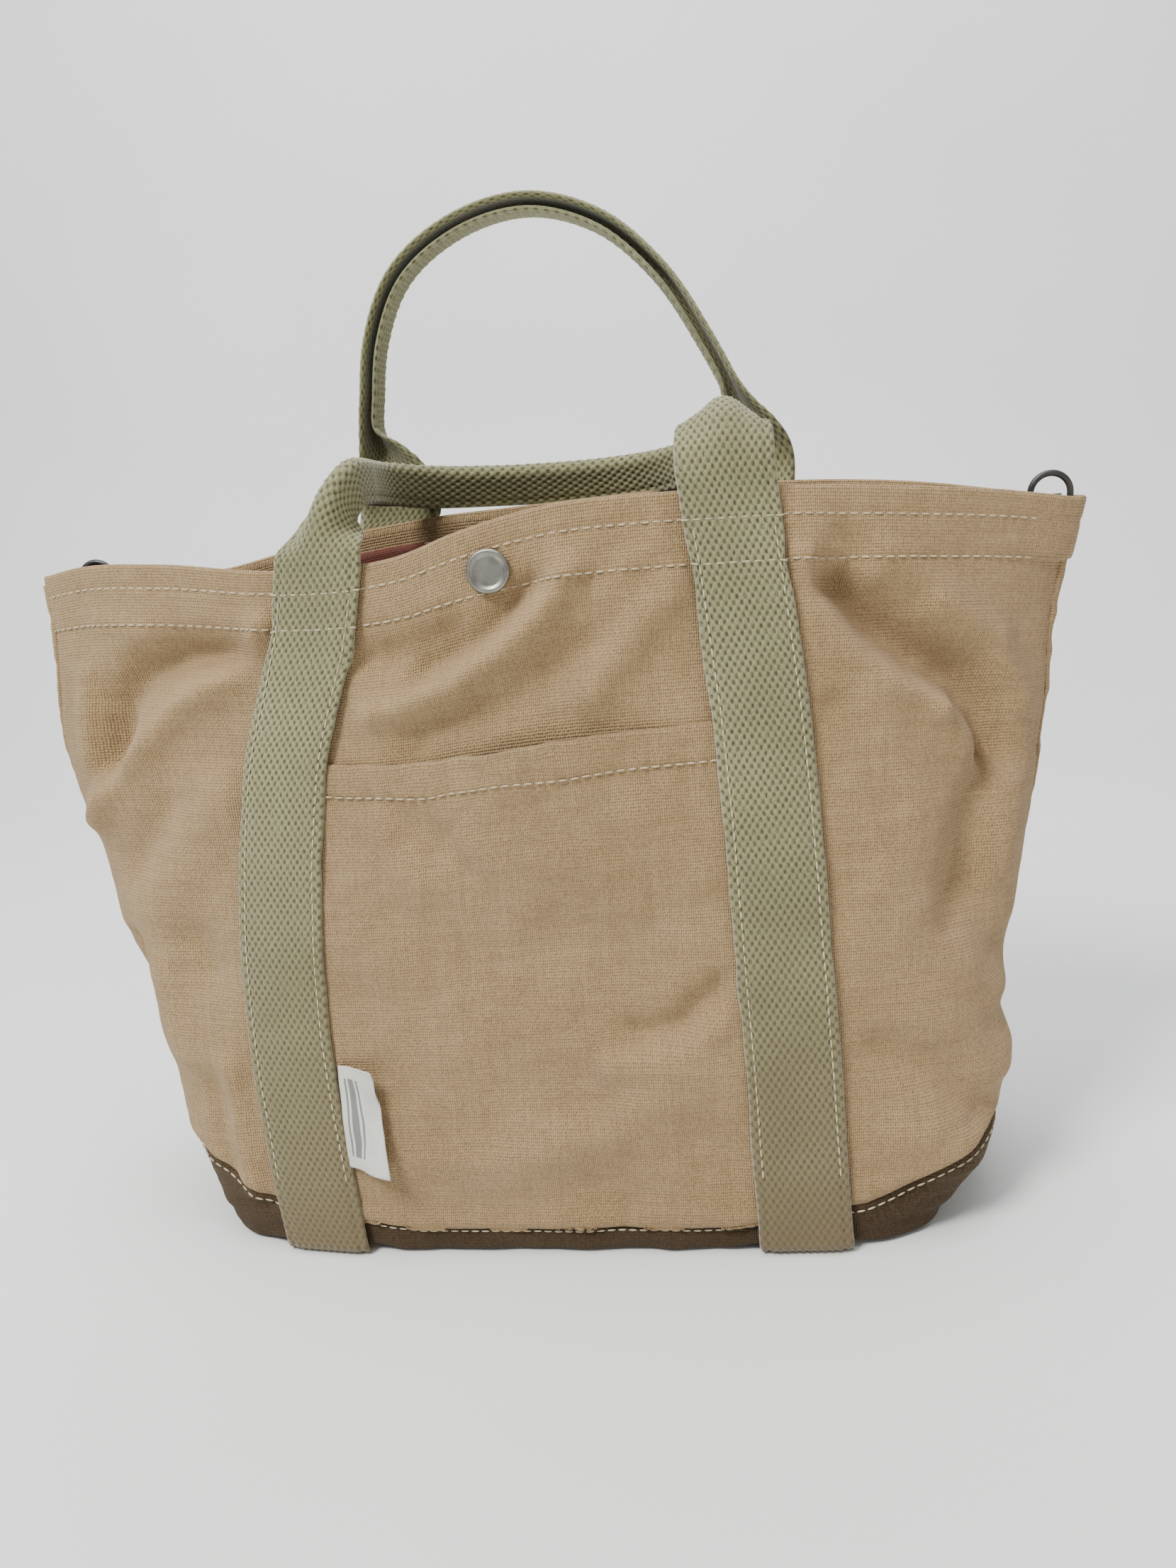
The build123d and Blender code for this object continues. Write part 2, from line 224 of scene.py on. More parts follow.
def ripple(x, z, seed, shortest, longest, count=22):
    """Sum of seeded waves of many directions, about one high, over places in millimetres."""
    random = np.random.RandomState(seed)
    total = np.zeros(np.shape(x))
    for _ in range(count):
        turn, phase = random.uniform(0, math.pi), random.uniform(0, 2 * math.pi)
        wave = 2 * math.pi / random.uniform(shortest, longest)
        total += np.cos(wave * (x * math.cos(turn) + z * math.sin(turn)) + phase)
    return total / math.sqrt(count)


def strap_x(strap, height):
    """Place of a strap's middle line across the bag at a height, in metres."""
    heights, places = STRAP_LINES[strap]
    return curve_through(heights, places, height / MM) * MM


def strap_free(side, x, height, clear=15.0, fade=13.0):
    """0 under the two straps of a side and 1 away from them."""
    face = "front" if side < 0 else "back"
    free = np.ones(np.shape(x))
    for strap in (face + "_left", face + "_right"):
        away = np.abs(x - strap_x(strap, height)) / MM
        free = free * smooth((away - clear) / fade)
    return free


def fold_height(side, x, height):
    """How far the folds push the cloth outwards, in metres."""
    across, up = x / MM, height / MM
    total = np.zeros(np.shape(x))
    for points, width, rise in SIDE_FOLDS + LEFT_FOLDS + MIDDLE_FOLDS:
        if side > 0:
            points, rise = [(-0.97 * px + 3, pz - 6) for px, pz in points], 0.85 * rise
        total += rise * np.exp(-(near_line(across, up, points) / width) ** 2)
    wrinkle = 0.8 * ripple(across, up, 5 + side, 26, 80) + 0.22 * ripple(across, up, 9 + side, 9, 22)
    total = FOLD_STRENGTH * total + wrinkle
    below_hem = smooth((RIM - height - 3 * MM) / (24 * MM))
    return total * strap_free(side, x, height) * mix(0.4, 1.0, below_hem) * MM


class Wall:
    """Front or back half of the wall: places and outward normals by share of girth and nominal height."""

    def __init__(self, side, folded):
        self.heights = np.linspace(0, RIM, 301)
        self.shares = np.linspace(-1, 1, 401)
        rows = np.array([outline_row(height, len(self.shares)) for height in self.heights])
        nominal = np.repeat(self.heights[:, None], len(self.shares), 1)
        lines, levels = RIM_LINES[side]
        lift = curve_through(lines, levels, rows[..., 0] / MM) * MM - RIM
        height = nominal + lift * (nominal / RIM) ** 3
        self.points = np.stack([rows[..., 0], -side * rows[..., 1], height], -1)
        for end, (levels, swell) in END_SWELL.items():
            reach = smooth((end * self.shares - 0.55) / 0.4)
            bulge = curve_through(levels, swell, self.heights / MM)[:, None] * MM
            self.points[..., 0] += end * reach * bulge
        self.normals = self.find_normals(side)
        if folded:
            own, other = (fold_height(face, self.points[..., 0], nominal) for face in (side, -side))
            edge = smooth((1 - np.abs(self.shares)) / 0.16)
            push = mix(0.1 * (own + other), own, edge)
            self.points = self.points + self.normals * push[..., None]
            self.normals = self.find_normals(side)

    def find_normals(self, side):
        """Outward normals, with the front and back halves meeting square at the side seams."""
        across = np.gradient(self.points, axis=1)
        up = np.gradient(self.points, axis=0)
        normals = unit(np.cross(across, up) * (-side))
        normals[:, (0, -1), 1] = 0
        return unit(normals)

    def at(self, share, height):
        """Places and normals at shares of the half girth (-1 to 1) and nominal heights."""
        column = (np.clip(share, -1, 1) + 1) / 2 * (len(self.shares) - 1)
        row = np.clip(height / RIM, 0, 1) * (len(self.heights) - 1)
        c = np.minimum(column.astype(int), len(self.shares) - 2)
        r = np.minimum(row.astype(int), len(self.heights) - 2)
        fc, fr = (column - c)[..., None], (row - r)[..., None]
        found = []
        for grid in (self.points, self.normals):
            low = mix(grid[r, c], grid[r, c + 1], fc)
            high = mix(grid[r + 1, c], grid[r + 1, c + 1], fc)
            found.append(mix(low, high, fr))
        return found[0], unit(found[1])

    def share_at(self, x, height):
        """Share of the half girth at places across the bag on one nominal height."""
        points, _ = self.at(self.shares, np.full(len(self.shares), height))
        return np.interp(x, points[:, 0], self.shares)


@functools.lru_cache(maxsize=None)
def wall(side, folded=True):
    """The wall of a side, worked out once."""
    return Wall(side, folded)


def seam_height(share):
    """Height of the seam between canvas and base cloth, which climbs at the boxed corners."""
    away = np.abs(share) * HALF_GIRTH / MM
    return (13.5 + 6 * smooth((away - 60) / 60) + 24 * smooth((away - 118) / 70)) * MM


def make_piece(name, points, faces, uvs, material):
    """Mesh object from points, faces and one UV per point."""
    mesh = bpy.data.meshes.new(name)
    mesh.from_pydata(points.reshape(-1, 3).tolist(), [], faces.tolist())
    layer = mesh.uv_layers.new(name="Cloth")
    loops = np.zeros(len(mesh.loops), np.int32)
    mesh.loops.foreach_get("vertex_index", loops)
    layer.data.foreach_set("uv", uvs.reshape(-1, 2)[loops].astype(np.float32).ravel())
    mesh.materials.append(material)
    mesh.polygons.foreach_set("use_smooth", [True] * len(mesh.polygons))
    piece = bpy.data.objects.new(name, mesh)
    bpy.context.scene.collection.objects.link(piece)
    mesh.update()
    return piece


def grid_faces(rows, columns, closed=False, flip=False):
    """Quads of a grid of points, closed round its columns if asked."""
    index = np.arange(rows * columns).reshape(rows, columns)
    right = np.roll(index, -1, 1) if closed else index[:, 1:]
    left = index if closed else index[:, :-1]
    quads = np.stack([left[:-1], right[:-1], right[1:], left[1:]], -1).reshape(-1, 4)
    return quads[:, ::-1] if flip else quads


def close_rings(piece, *rings):
    """Close open rings of points, each with one face, and point all the piece's faces outwards."""
    mesh = bmesh.new()
    mesh.from_mesh(piece.data)
    mesh.verts.ensure_lookup_table()
    for ring in rings:
        mesh.faces.new([mesh.verts[index] for index in ring])
    bmesh.ops.recalc_face_normals(mesh, faces=mesh.faces)
    mesh.to_mesh(piece.data)
    mesh.free()


def last_ring(rows, columns):
    """The points of a grid's last row."""
    return range((rows - 1) * columns, rows * columns)


def close_tube(piece, rows, columns):
    """Close both ends of a tube of rings."""
    close_rings(piece, reversed(range(columns)), last_ring(rows, columns))


def add_thickness(piece, thickness):
    """Give a sheet its thickness, inwards from its outer face."""
    solid = piece.modifiers.new("Thickness", "SOLIDIFY")
    solid.thickness = thickness
    solid.offset = -1
    solid.use_even_offset = False


def cloth_sheet(name, points, uvs, side, thickness, material):
    """Sheet of cloth from a grid that runs left to right and upwards, its outer face away from the bag."""
    rows, columns = points.shape[:2]
    piece = make_piece(name, points, grid_faces(rows, columns, flip=side > 0), uvs, material)
    add_thickness(piece, thickness)
    return piece


def settle(piece, body, slot, *nodes):
    """Let a piece ride on a body in the place of its frame nodes."""
    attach(piece, body)
    if nodes:
        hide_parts(*nodes)
    return piece


def cloth_uvs(share, rise):
    """UVs in metres along and up the cloth."""
    return np.stack([share * HALF_GIRTH, rise], -1)


def edge_puff(above):
    """Soft bulge of cloth just above a seam, in metres, by height above the seam."""
    above = above / MM
    return (1.1 * np.exp(-((above - 3) / 4.5) ** 2) - 1.6 * smooth((1.2 - above) / 2.4)) * MM


def hem_dent(side, share, below):
    """Dents along the hem's stitch rows and the puckers between them, in metres."""
    along = share * HALF_GIRTH / MM
    dent = np.zeros(np.shape(below))
    for row, seed in zip(HEM_ROWS, (3, 4)):
        near = np.exp(-((below - row) / (1.5 * MM)) ** 2)
        wide = np.exp(-((below - row) / (6 * MM)) ** 2)
        dent += -0.4 * near + 0.16 * wide * ripple(along, 0 * along, seed + side, 7, 16, 9)
    band = smooth((HEM_ROWS[1] + 1.5 * MM - below) / (2 * MM))
    proud = 0.45 + 2.6 * smooth((share - 0.88) / 0.1)
    return (dent + proud * band) * MM


def panel_points(side):
    """Grid of a canvas panel: up the outside, over the rolled rim and down the inside of the hem."""
    surface = wall(side)
    share = np.linspace(-1, 1, PANEL_COLUMNS)
    rise = np.concatenate([[-0.004, -0.002], np.linspace(0, 1, PANEL_ROWS)])
    seam = seam_height(share)
    height = seam + (RIM - seam) * rise[:, None]
    wide = np.repeat(share[None], len(rise), 0)
    places, normals = surface.at(wide, height)
    push = edge_puff(height - seam) + hem_dent(side, wide, RIM - height)
    outside = places + normals * push[..., None]
    top, out = outside[-1], normals[-1]
    up = unit(outside[-1] - outside[-4])
    radius = 1.5 * MM
    turns = np.linspace(0, math.pi, 8)[1:, None, None]
    roll = top + out * radius * (np.cos(turns) - 1) + up * radius * np.sin(turns)
    depths = np.linspace(2 * MM, HEM_DEPTH, 12)[:, None]
    inner, inward = surface.at(np.repeat(share[None], len(depths), 0), RIM - depths + 0 * share)
    inside = inner - inward * 2 * radius
    points = np.concatenate([outside, roll, inside])
    over = RIM + radius * turns[:, 0] + 0 * share
    back_down = RIM + depths + 2 * radius + 0 * share
    lengths = np.concatenate([height, over, back_down])
    return points, cloth_uvs(np.repeat(share[None], len(points), 0), lengths)


def girth_share(side, x, height):
    """Share of the half girth at a place across the bag, row by row."""
    surface = wall(side, False)
    return np.array([surface.share_at(row, level) for row, level in zip(x, height)])


def weave_relief(across, along, pitch, row):
    """Height of the webbing's woven bumps, from 0 in the pits to 1 on the bumps."""
    checker = np.cos(2 * math.pi * across / pitch) * np.cos(math.pi * along / row)
    return 1 - (0.5 - 0.5 * checker) ** 1.2


def ribbon_ring(sizes, count, coarse):
    """Places across a webbing's section: across, share of half thickness, and the relief's share."""
    half = sizes.webbing_width / 2
    upper, lower = np.linspace(-half, half, count), np.linspace(half, -half, coarse)[1:-1]
    across = np.concatenate([upper, lower])
    face = np.concatenate([np.ones(count), -np.ones(len(lower))])
    edge = (1 - np.minimum(np.abs(across) / half, 1) ** 10) ** 0.25
    face = face * np.concatenate([np.maximum(edge[:count], 0.02), edge[count:]])
    relief = np.concatenate([smooth((half - np.abs(upper)) / (1.6 * MM)), np.zeros(len(lower))])
    return across, face, relief


def webbing_tube(name, middle, out, across, along, sizes, face, relief, material):
    """Webbing as a closed tube, from its middle surface and normals at every place of its rings."""
    bumps = weave_relief(across, along, sizes.webbing_pitch, sizes.webbing_row)
    stitch = np.exp(-((np.abs(across) - sizes.webbing_width / 2 + sizes.edge_inset) / (0.7 * MM)) ** 2)
    lift = face * sizes.webbing_thickness / 2 + relief * sizes.webbing_relief * (bumps - 0.5 - 0.5 * stitch)
    points = middle + out * lift[..., None]
    rows, columns = points.shape[:2]
    faces = grid_faces(rows, columns, closed=True)
    piece = make_piece(name, points, faces, np.stack([across, along], -1), material)
    close_tube(piece, rows, columns)
    return piece


def group_socket(tree, kind, label, way, value=None):
    """Named input or output of a node group."""
    socket = tree.interface.new_socket(label, in_out=way, socket_type="NodeSocket" + kind)
    if value is not None:
        socket.default_value = value
    return socket


class Graph:
    """Short way to place and join nodes."""

    def __init__(self, tree):
        self.tree = tree

    def add(self, kind, options=None, **inputs):
        node = self.tree.nodes.new(kind)
        for key, value in (options or {}).items():
            setattr(node, key, value)
        for key, value in inputs.items():
            self.feed(node, int(key[1:]) if key[0] == "_" else key, value)
        return node

    def feed(self, node, key, value):
        socket = node.inputs[key]
        if isinstance(value, bpy.types.NodeSocket):
            self.tree.links.new(value, socket)
        else:
            socket.default_value = value

    def math(self, operation, first, second=0.0, third=0.0):
        """Result of a sum on values."""
        node = self.add("ShaderNodeMath", {"operation": operation}, _0=first, _1=second, _2=third)
        return node.outputs[0]

    def vector(self, operation, **inputs):
        """Result of a sum on vectors."""
        return self.add("ShaderNodeVectorMath", {"operation": operation}, **inputs).outputs[0]

    def blend(self, share, low, high):
        """Colour a share of the way from low to high."""
        node = self.add("ShaderNodeMix", {"data_type": "RGBA"}, _0=share, _6=low, _7=high)
        return node.outputs[2]

    def scale_range(self, value, low, high, to_low, to_high):
        """Value moved softly from one range to another."""
        node = self.add("ShaderNodeMapRange", {"interpolation_type": "SMOOTHSTEP"},
                        _0=value, _1=low, _2=high, _3=to_low, _4=to_high)
        return node.outputs[0]

    def noise(self, place, scale, detail, **more):
        """Grey noise over places."""
        node = self.add("ShaderNodeTexNoise", Vector=place, Scale=scale, Detail=detail, **more)
        return node.outputs["Fac"]

    def place(self):
        """Object coordinates."""
        return self.add("ShaderNodeTexCoord").outputs["Object"]

    def cloth_place(self):
        """The piece's own UV map, along and up its cloth."""
        return self.add("ShaderNodeUVMap", {"uv_map": "Cloth"}).outputs[0]

    def split(self, vector):
        """Three parts of a vector."""
        return self.add("ShaderNodeSeparateXYZ", _0=vector).outputs

    def bump(self, strength, distance, height):
        """Normal raised by a height."""
        return self.add("ShaderNodeBump", Strength=strength, Distance=distance, Height=height).outputs[0]


def weave_group():
    """Node group: threads of a plain weave on the cloth's own UV map, wandering a little."""
    tree = bpy.data.node_groups.new("Plain weave", "ShaderNodeTree")
    for label, value in (("Warp pitch", 0.0009), ("Weft pitch", 0.0012), ("Wander", 0.0003)):
        group_socket(tree, "Float", label, "INPUT", value)
    group_socket(tree, "Vector", "Cloth place", "INPUT")
    group_socket(tree, "Float", "Thread height", "OUTPUT")
    group_socket(tree, "Float", "Yarn tone", "OUTPUT")
    g = Graph(tree)
    given, result = g.add("NodeGroupInput").outputs, g.add("NodeGroupOutput")
    place = given["Cloth place"]
    drift = g.add("ShaderNodeTexNoise", Vector=place, Scale=260.0, Detail=2.0).outputs["Color"]
    centred = g.vector("SUBTRACT", _0=drift, _1=(0.5, 0.5, 0.5))
    moved = g.vector("SCALE", _0=centred, Scale=given["Wander"])
    place = g.vector("ADD", _0=place, _1=moved)
    split = g.split(place)
    across = g.math("MULTIPLY", g.math("DIVIDE", split[0], given["Warp pitch"]), math.pi)
    along = g.math("MULTIPLY", g.math("DIVIDE", split[1], given["Weft pitch"]), math.pi)
    crossing = g.math("MULTIPLY", g.math("COSINE", across), g.math("COSINE", along))
    thread = g.math("POWER", g.math("ABSOLUTE", crossing), 0.7)
    float_up = g.math("MULTIPLY", g.math("MAXIMUM", crossing, 0.0), 0.5)
    height = g.math("MULTIPLY_ADD", thread, 0.5, float_up)
    tones = []
    for slot, step, fine in ((0, given["Warp pitch"], 0.6), (1, given["Weft pitch"], 0.7)):
        cell = g.math("FLOOR", g.math("DIVIDE", split[slot], step))
        run = g.math("MULTIPLY", split[1 - slot], 28.0)
        fine_cell = g.math("MULTIPLY", cell, fine)
        spot = g.add("ShaderNodeCombineXYZ", _0=fine_cell, _1=run, _2=slot * 3.0).outputs[0]
        tones.append(g.noise(spot, 1.0, 1.0))
    g.feed(result, "Thread height", height)
    g.feed(result, "Yarn tone", g.math("MULTIPLY", g.math("ADD", tones[0], tones[1]), 0.5))
    return tree


def wear_group():
    """Node group: broad blotches, fine fibre specks and a darker band that rises from the floor."""
    tree = bpy.data.node_groups.new("Cloth wear", "ShaderNodeTree")
    for label, value in (("Blotch size", 0.05), ("Floor darkening height", 0.03)):
        group_socket(tree, "Float", label, "INPUT", value)
    group_socket(tree, "Vector", "Place", "INPUT")
    for label in ("Blotches", "Specks", "Floor darkening"):
        group_socket(tree, "Float", label, "OUTPUT")
    g = Graph(tree)
    given, result = g.add("NodeGroupInput").outputs, g.add("NodeGroupOutput")
    scale = g.math("DIVIDE", 1.0, given["Blotch size"])
    blotch = g.noise(given["Place"], scale, 5.0, Roughness=0.6)
    specks = g.noise(given["Place"], 900.0, 3.0)
    height = g.split(given["Place"])[2]
    ragged = g.math("MULTIPLY_ADD", blotch, 0.02, height)
    floor_darkening = g.scale_range(g.math("DIVIDE", ragged, given["Floor darkening height"]), 0.4, 1.6, 1.0, 0.0)
    g.feed(result, "Blotches", g.scale_range(blotch, 0.3, 0.7, 0.0, 1.0))
    g.feed(result, "Specks", g.scale_range(specks, 0.35, 0.65, 0.0, 1.0))
    g.feed(result, "Floor darkening", floor_darkening)
    return tree


def shared_group(name, build):
    """A shader node group, built once."""
    return bpy.data.node_groups.get(name) or build()


def new_material(name):
    """Empty node material with its Principled shader, and the graph to fill it."""
    material = bpy.data.materials.new(name)
    material.use_nodes = True
    g = Graph(material.node_tree)
    return material, g, material.node_tree.nodes["Principled BSDF"]


def cloth_material(name, colour, dark, weave, bump, wear=0.5, floor_darkening=0.0, sheen=0.25, use_uv=True):
    """Woven cotton: threads with painted shade in their gaps, uneven yarns, blotches, specks and a darker
    band towards the floor.
    """
    material, g, shader = new_material(name)
    place = g.place()
    cloth = g.cloth_place() if use_uv else place
    threads = g.add("ShaderNodeGroup", {"node_tree": shared_group("Plain weave", weave_group)})
    g.feed(threads, "Cloth place", cloth)
    g.feed(threads, "Warp pitch", weave[0])
    g.feed(threads, "Weft pitch", weave[1])
    g.feed(threads, "Wander", min(weave) * 0.5)
    worn = g.add("ShaderNodeGroup", {"node_tree": shared_group("Cloth wear", wear_group)})
    g.feed(worn, "Place", place)
    height, yarn = threads.outputs["Thread height"], threads.outputs["Yarn tone"]
    # Painted shade: where the thread height is low, in the weave gaps, the colour is darkened towards the
    # dark tone
    gap_shade = g.scale_range(height, 0.1, 0.85, bump[1], 0.0)
    shade = g.blend(gap_shade, colour, dark)
    pale = [min(1.0, c * 1.22 + 0.01) for c in colour[:3]] + [1.0]
    shade = g.blend(g.scale_range(yarn, 0.42, 0.66, 0.0, 0.25), shade, pale)
    shade = g.blend(g.math("MULTIPLY", worn.outputs["Blotches"], 0.45 * wear), shade, dark)
    shade = g.blend(g.math("MULTIPLY", worn.outputs["Specks"], 0.3), shade, pale)
    if floor_darkening:
        shade = g.blend(g.math("MULTIPLY", worn.outputs["Floor darkening"], floor_darkening), shade, dark)
    g.feed(shader, "Base Color", shade)
    g.feed(shader, "Roughness", g.scale_range(height, 0.0, 1.0, 0.97, 0.84))
    shader.inputs["Specular IOR Level"].default_value = 0.25
    shader.inputs["Sheen Weight"].default_value = sheen
    shader.inputs["Sheen Roughness"].default_value = 0.6
    total = g.math("MULTIPLY_ADD", worn.outputs["Specks"], 0.18, height)
    g.feed(shader, "Normal", g.bump(1.0, bump[0], total))
    return material


def webbing_material(name, colour, dark, lower_end_tone, pitch, row):
    """Coarse cotton webbing: painted shade in the pits between its bumps, fibres lengthwise and a browner,
    darker lower end.
    """
    material, g, shader = new_material(name)
    place = g.place()
    split = g.split(g.cloth_place())
    across = g.math("COSINE", g.math("MULTIPLY", split[0], 2 * math.pi / pitch))
    along = g.math("COSINE", g.math("MULTIPLY", split[1], math.pi / row))
    pit = g.math("MULTIPLY_ADD", g.math("MULTIPLY", across, along), -0.5, 0.5)
    worn = g.add("ShaderNodeGroup", {"node_tree": shared_group("Cloth wear", wear_group)})
    g.feed(worn, "Place", place)
    g.feed(worn, "Floor darkening height", 0.034)
    finer = [g.math("MULTIPLY", split[0], 2600.0), g.math("MULTIPLY", split[1], 500.0)]
    stretch = g.add("ShaderNodeCombineXYZ", _0=finer[0], _1=finer[1]).outputs[0]
    fibres = g.noise(stretch, 1.0, 2.0)
    # Painted shade: the pits between the webbing's bumps are darkened towards the dark tone
    shade = g.blend(g.scale_range(pit, 0.3, 0.95, 0.0, 1.0), colour, dark)
    pale = [min(1.0, c * 1.35 + 0.015) for c in colour[:3]] + [1.0]
    shade = g.blend(g.scale_range(fibres, 0.45, 0.7, 0.0, 0.55), shade, pale)
    shade = g.blend(g.math("MULTIPLY", worn.outputs["Blotches"], 0.3), shade, dark)
    # Darker and browner towards the bottom of the straps, over their lowest quarter metre
    shade = g.blend(g.scale_range(g.split(place)[2], 0.0, 0.25, 0.6, 0.0), shade, lower_end_tone)
    shade = g.blend(g.math("MULTIPLY", worn.outputs["Floor darkening"], 0.6), shade, lower_end_tone)
    g.feed(shader, "Base Color", shade)
    g.feed(shader, "Roughness", g.scale_range(fibres, 0.3, 0.7, 0.95, 0.82))
    shader.inputs["Specular IOR Level"].default_value = 0.25
    shader.inputs["Sheen Weight"].default_value = 0.3
    total = g.math("MULTIPLY_ADD", fibres, 0.3, g.math("MULTIPLY", pit, -0.5))
    g.feed(shader, "Normal", g.bump(0.9, 0.0005, total))
    return material


def thread_material(name, colour, dark):
    """Twisted sewing thread, with painted shade in the grooves of its twist and patchy soil."""
    material, g, shader = new_material(name)
    place = g.place()
    twist = g.noise(place, 2400.0, 2.0)
    soil = g.noise(place, 45.0, 3.0)
    # Painted shade: where the twist's bump sinks, the colour is darkened towards the dark tone
    shade = g.blend(g.scale_range(twist, 0.35, 0.7, 0.6, 0.0), colour, dark)
    g.feed(shader, "Base Color", g.blend(g.scale_range(soil, 0.4, 0.75, 0.0, 0.5), shade, dark))
    g.feed(shader, "Roughness", g.scale_range(twist, 0.2, 0.8, 0.8, 0.6))
    g.feed(shader, "Normal", g.bump(0.5, 0.0002, twist))
    return material


def metal_material(name, colour, dark, metallic, rough):
    """Brushed or enamelled metal with fine scratches, smudges and worn spots."""
    material, g, shader = new_material(name)
    place = g.place()
    stretched = g.add("ShaderNodeMapping", Vector=place, Scale=(3000.0, 900.0, 260.0)).outputs[0]
    scratch = g.noise(stretched, 1.0, 3.0)
    smudge = g.noise(place, 170.0, 4.0)
    shade = g.blend(g.scale_range(smudge, 0.35, 0.7, 0.0, 0.7), colour, dark)
    g.feed(shader, "Base Color", shade)
    shader.inputs["Metallic"].default_value = metallic
    total = g.math("MULTIPLY_ADD", scratch, 0.16, g.math("MULTIPLY_ADD", smudge, 0.2, rough - 0.15))
    g.feed(shader, "Roughness", total)
    g.feed(shader, "Normal", g.bump(0.35, 0.0001, scratch))
    return material


def label_material(name, colour, ink, label):
    """White woven tape with plain generic stripes."""
    material, g, shader = new_material(name)
    split = g.split(g.cloth_place())
    place = g.place()
    across, along = g.math("DIVIDE", split[0], label[0]), g.math("DIVIDE", split[1], label[1])
    weft = g.math("SINE", g.math("MULTIPLY", split[1], 2 * math.pi / 0.0005))
    stripes = 0.0
    for low, high in ((0.14, 0.19), (0.25, 0.42), (0.48, 0.53)):
        inside = g.math("MULTIPLY", g.math("GREATER_THAN", across, low), g.math("LESS_THAN", across, high))
        stripes = g.math("ADD", stripes, inside)
    ends = g.math("MULTIPLY", g.math("GREATER_THAN", along, 0.12), g.math("LESS_THAN", along, 0.88))
    soil = g.noise(place, 90.0, 4.0)
    grey = [c * 0.6 for c in colour[:3]] + [1.0]
    soiled = g.blend(g.scale_range(soil, 0.4, 0.75, 0.0, 0.35), colour, grey)
    printed = g.math("MULTIPLY", g.math("MULTIPLY", stripes, ends), 0.85)
    g.feed(shader, "Base Color", g.blend(printed, soiled, ink))
    g.feed(shader, "Roughness", g.scale_range(weft, -1.0, 1.0, 0.62, 0.45))
    shader.inputs["Sheen Weight"].default_value = 0.2
    g.feed(shader, "Normal", g.bump(0.6, 0.00015, weft))
    return material


def finish_recipes(tones, sizes):
    """How each finish is made: its maker and what the maker is given after the name."""
    canvas = (sizes.warp_pitch, sizes.weft_pitch)
    # Each pair: bump distance, and strength of the painted shade in the weave gaps
    duck_bump_and_gap_shade, base_bump_and_gap_shade = (0.0006, 0.85), (0.0006, 0.8)
    lining_bump_and_gap_shade, tape_bump_and_gap_shade = (0.0003, 0.5), (0.0004, 0.5)
    steel_dark = [c * 0.45 for c in tones.steel[:3]] + [1.0]
    return {
        "Tan canvas": (cloth_material, tones.tan, tones.tan_dark, canvas, duck_bump_and_gap_shade, 1.0, 0.3, 0.12),
        "Olive canvas": (cloth_material, tones.olive, tones.olive_dark, canvas, base_bump_and_gap_shade, 1.6, 0.5, 0.04),
        "Brick lining": (cloth_material, tones.brick, tones.brick_dark, (0.0007, 0.0009), lining_bump_and_gap_shade,
                         0.5, 0.0, 0.1),
        "Black tape": (cloth_material, tones.black, (0.002, 0.002, 0.003, 1), (0.0012, 0.0009), tape_bump_and_gap_shade,
                       0.5, 0.0, 0.25, False),
        "Sage webbing": (webbing_material, tones.sage, tones.sage_dark, tones.sage_lower_end,
                         sizes.webbing_pitch, sizes.webbing_row),
        "Cream thread": (thread_material, tones.thread, tones.thread_dark),
        "Snap steel": (metal_material, tones.steel, steel_dark, 0.85, 0.38),
        "Black enamel": (metal_material, tones.black, (0.05, 0.045, 0.04, 1), 0.0, 0.36),
        "Woven label": (label_material, tones.label, tones.label_ink, LABEL_SIZE),
    }


def finish_of(name):
    """The finish of a name, built once from the bag's settings."""
    found = bpy.data.materials.get(name)
    if found:
        return found
    scene = bpy.context.scene
    maker, *given = finish_recipes(scene.tote_tones, scene.tote_sizes)[name]
    return maker(name, *given)


def repaint(node, name):
    """Give a frame node one of the bag's finishes."""
    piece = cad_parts[node]
    for slot in piece.material_slots:
        slot.material = finish_of(name)


def stitch_tree():
    """Geometry Nodes: evenly spaced stitches along the edges of a guide line, as solid threads."""
    tree = bpy.data.node_groups.new("Stitch run", "GeometryNodeTree")
    group_socket(tree, "Geometry", "Guide", "INPUT")
    for label, value in (("Stitch pitch", 0.0045), ("Stitch length", 0.0034), ("Thread radius", 0.0004)):
        group_socket(tree, "Float", label, "INPUT", value)
    group_socket(tree, "Material", "Thread", "INPUT")
    group_socket(tree, "Geometry", "Stitches", "OUTPUT")
    g = Graph(tree)
    given, result = g.add("NodeGroupInput").outputs, g.add("NodeGroupOutput")
    line = g.add("GeometryNodeMeshToCurve", Mesh=given["Guide"]).outputs[0]
    beads = g.add("GeometryNodeCurveToPoints", {"mode": "LENGTH"},
                  Curve=line, Length=given["Stitch pitch"]).outputs
    thread = g.add("GeometryNodeMeshUVSphere", Segments=8, Rings=6, Radius=1.0).outputs["Mesh"]
    half = g.math("MULTIPLY", given["Stitch length"], 0.5)
    radius = given["Thread radius"]
    size = g.add("ShaderNodeCombineXYZ", _0=radius, _1=radius, _2=half).outputs[0]
    turn = g.add("FunctionNodeAlignRotationToVector", {"axis": "Z"}, Vector=beads["Tangent"]).outputs[0]
    spread = g.add("GeometryNodeInstanceOnPoints",
                   Points=beads["Points"], Instance=thread, Rotation=turn, Scale=size)
    solid = g.add("GeometryNodeRealizeInstances", _0=spread.outputs[0]).outputs[0]
    shaded = g.add("GeometryNodeSetShadeSmooth", Geometry=solid).outputs[0]
    painted = g.add("GeometryNodeSetMaterial", Geometry=shaded, Material=given["Thread"]).outputs[0]
    g.feed(result, "Stitches", painted)
    return tree


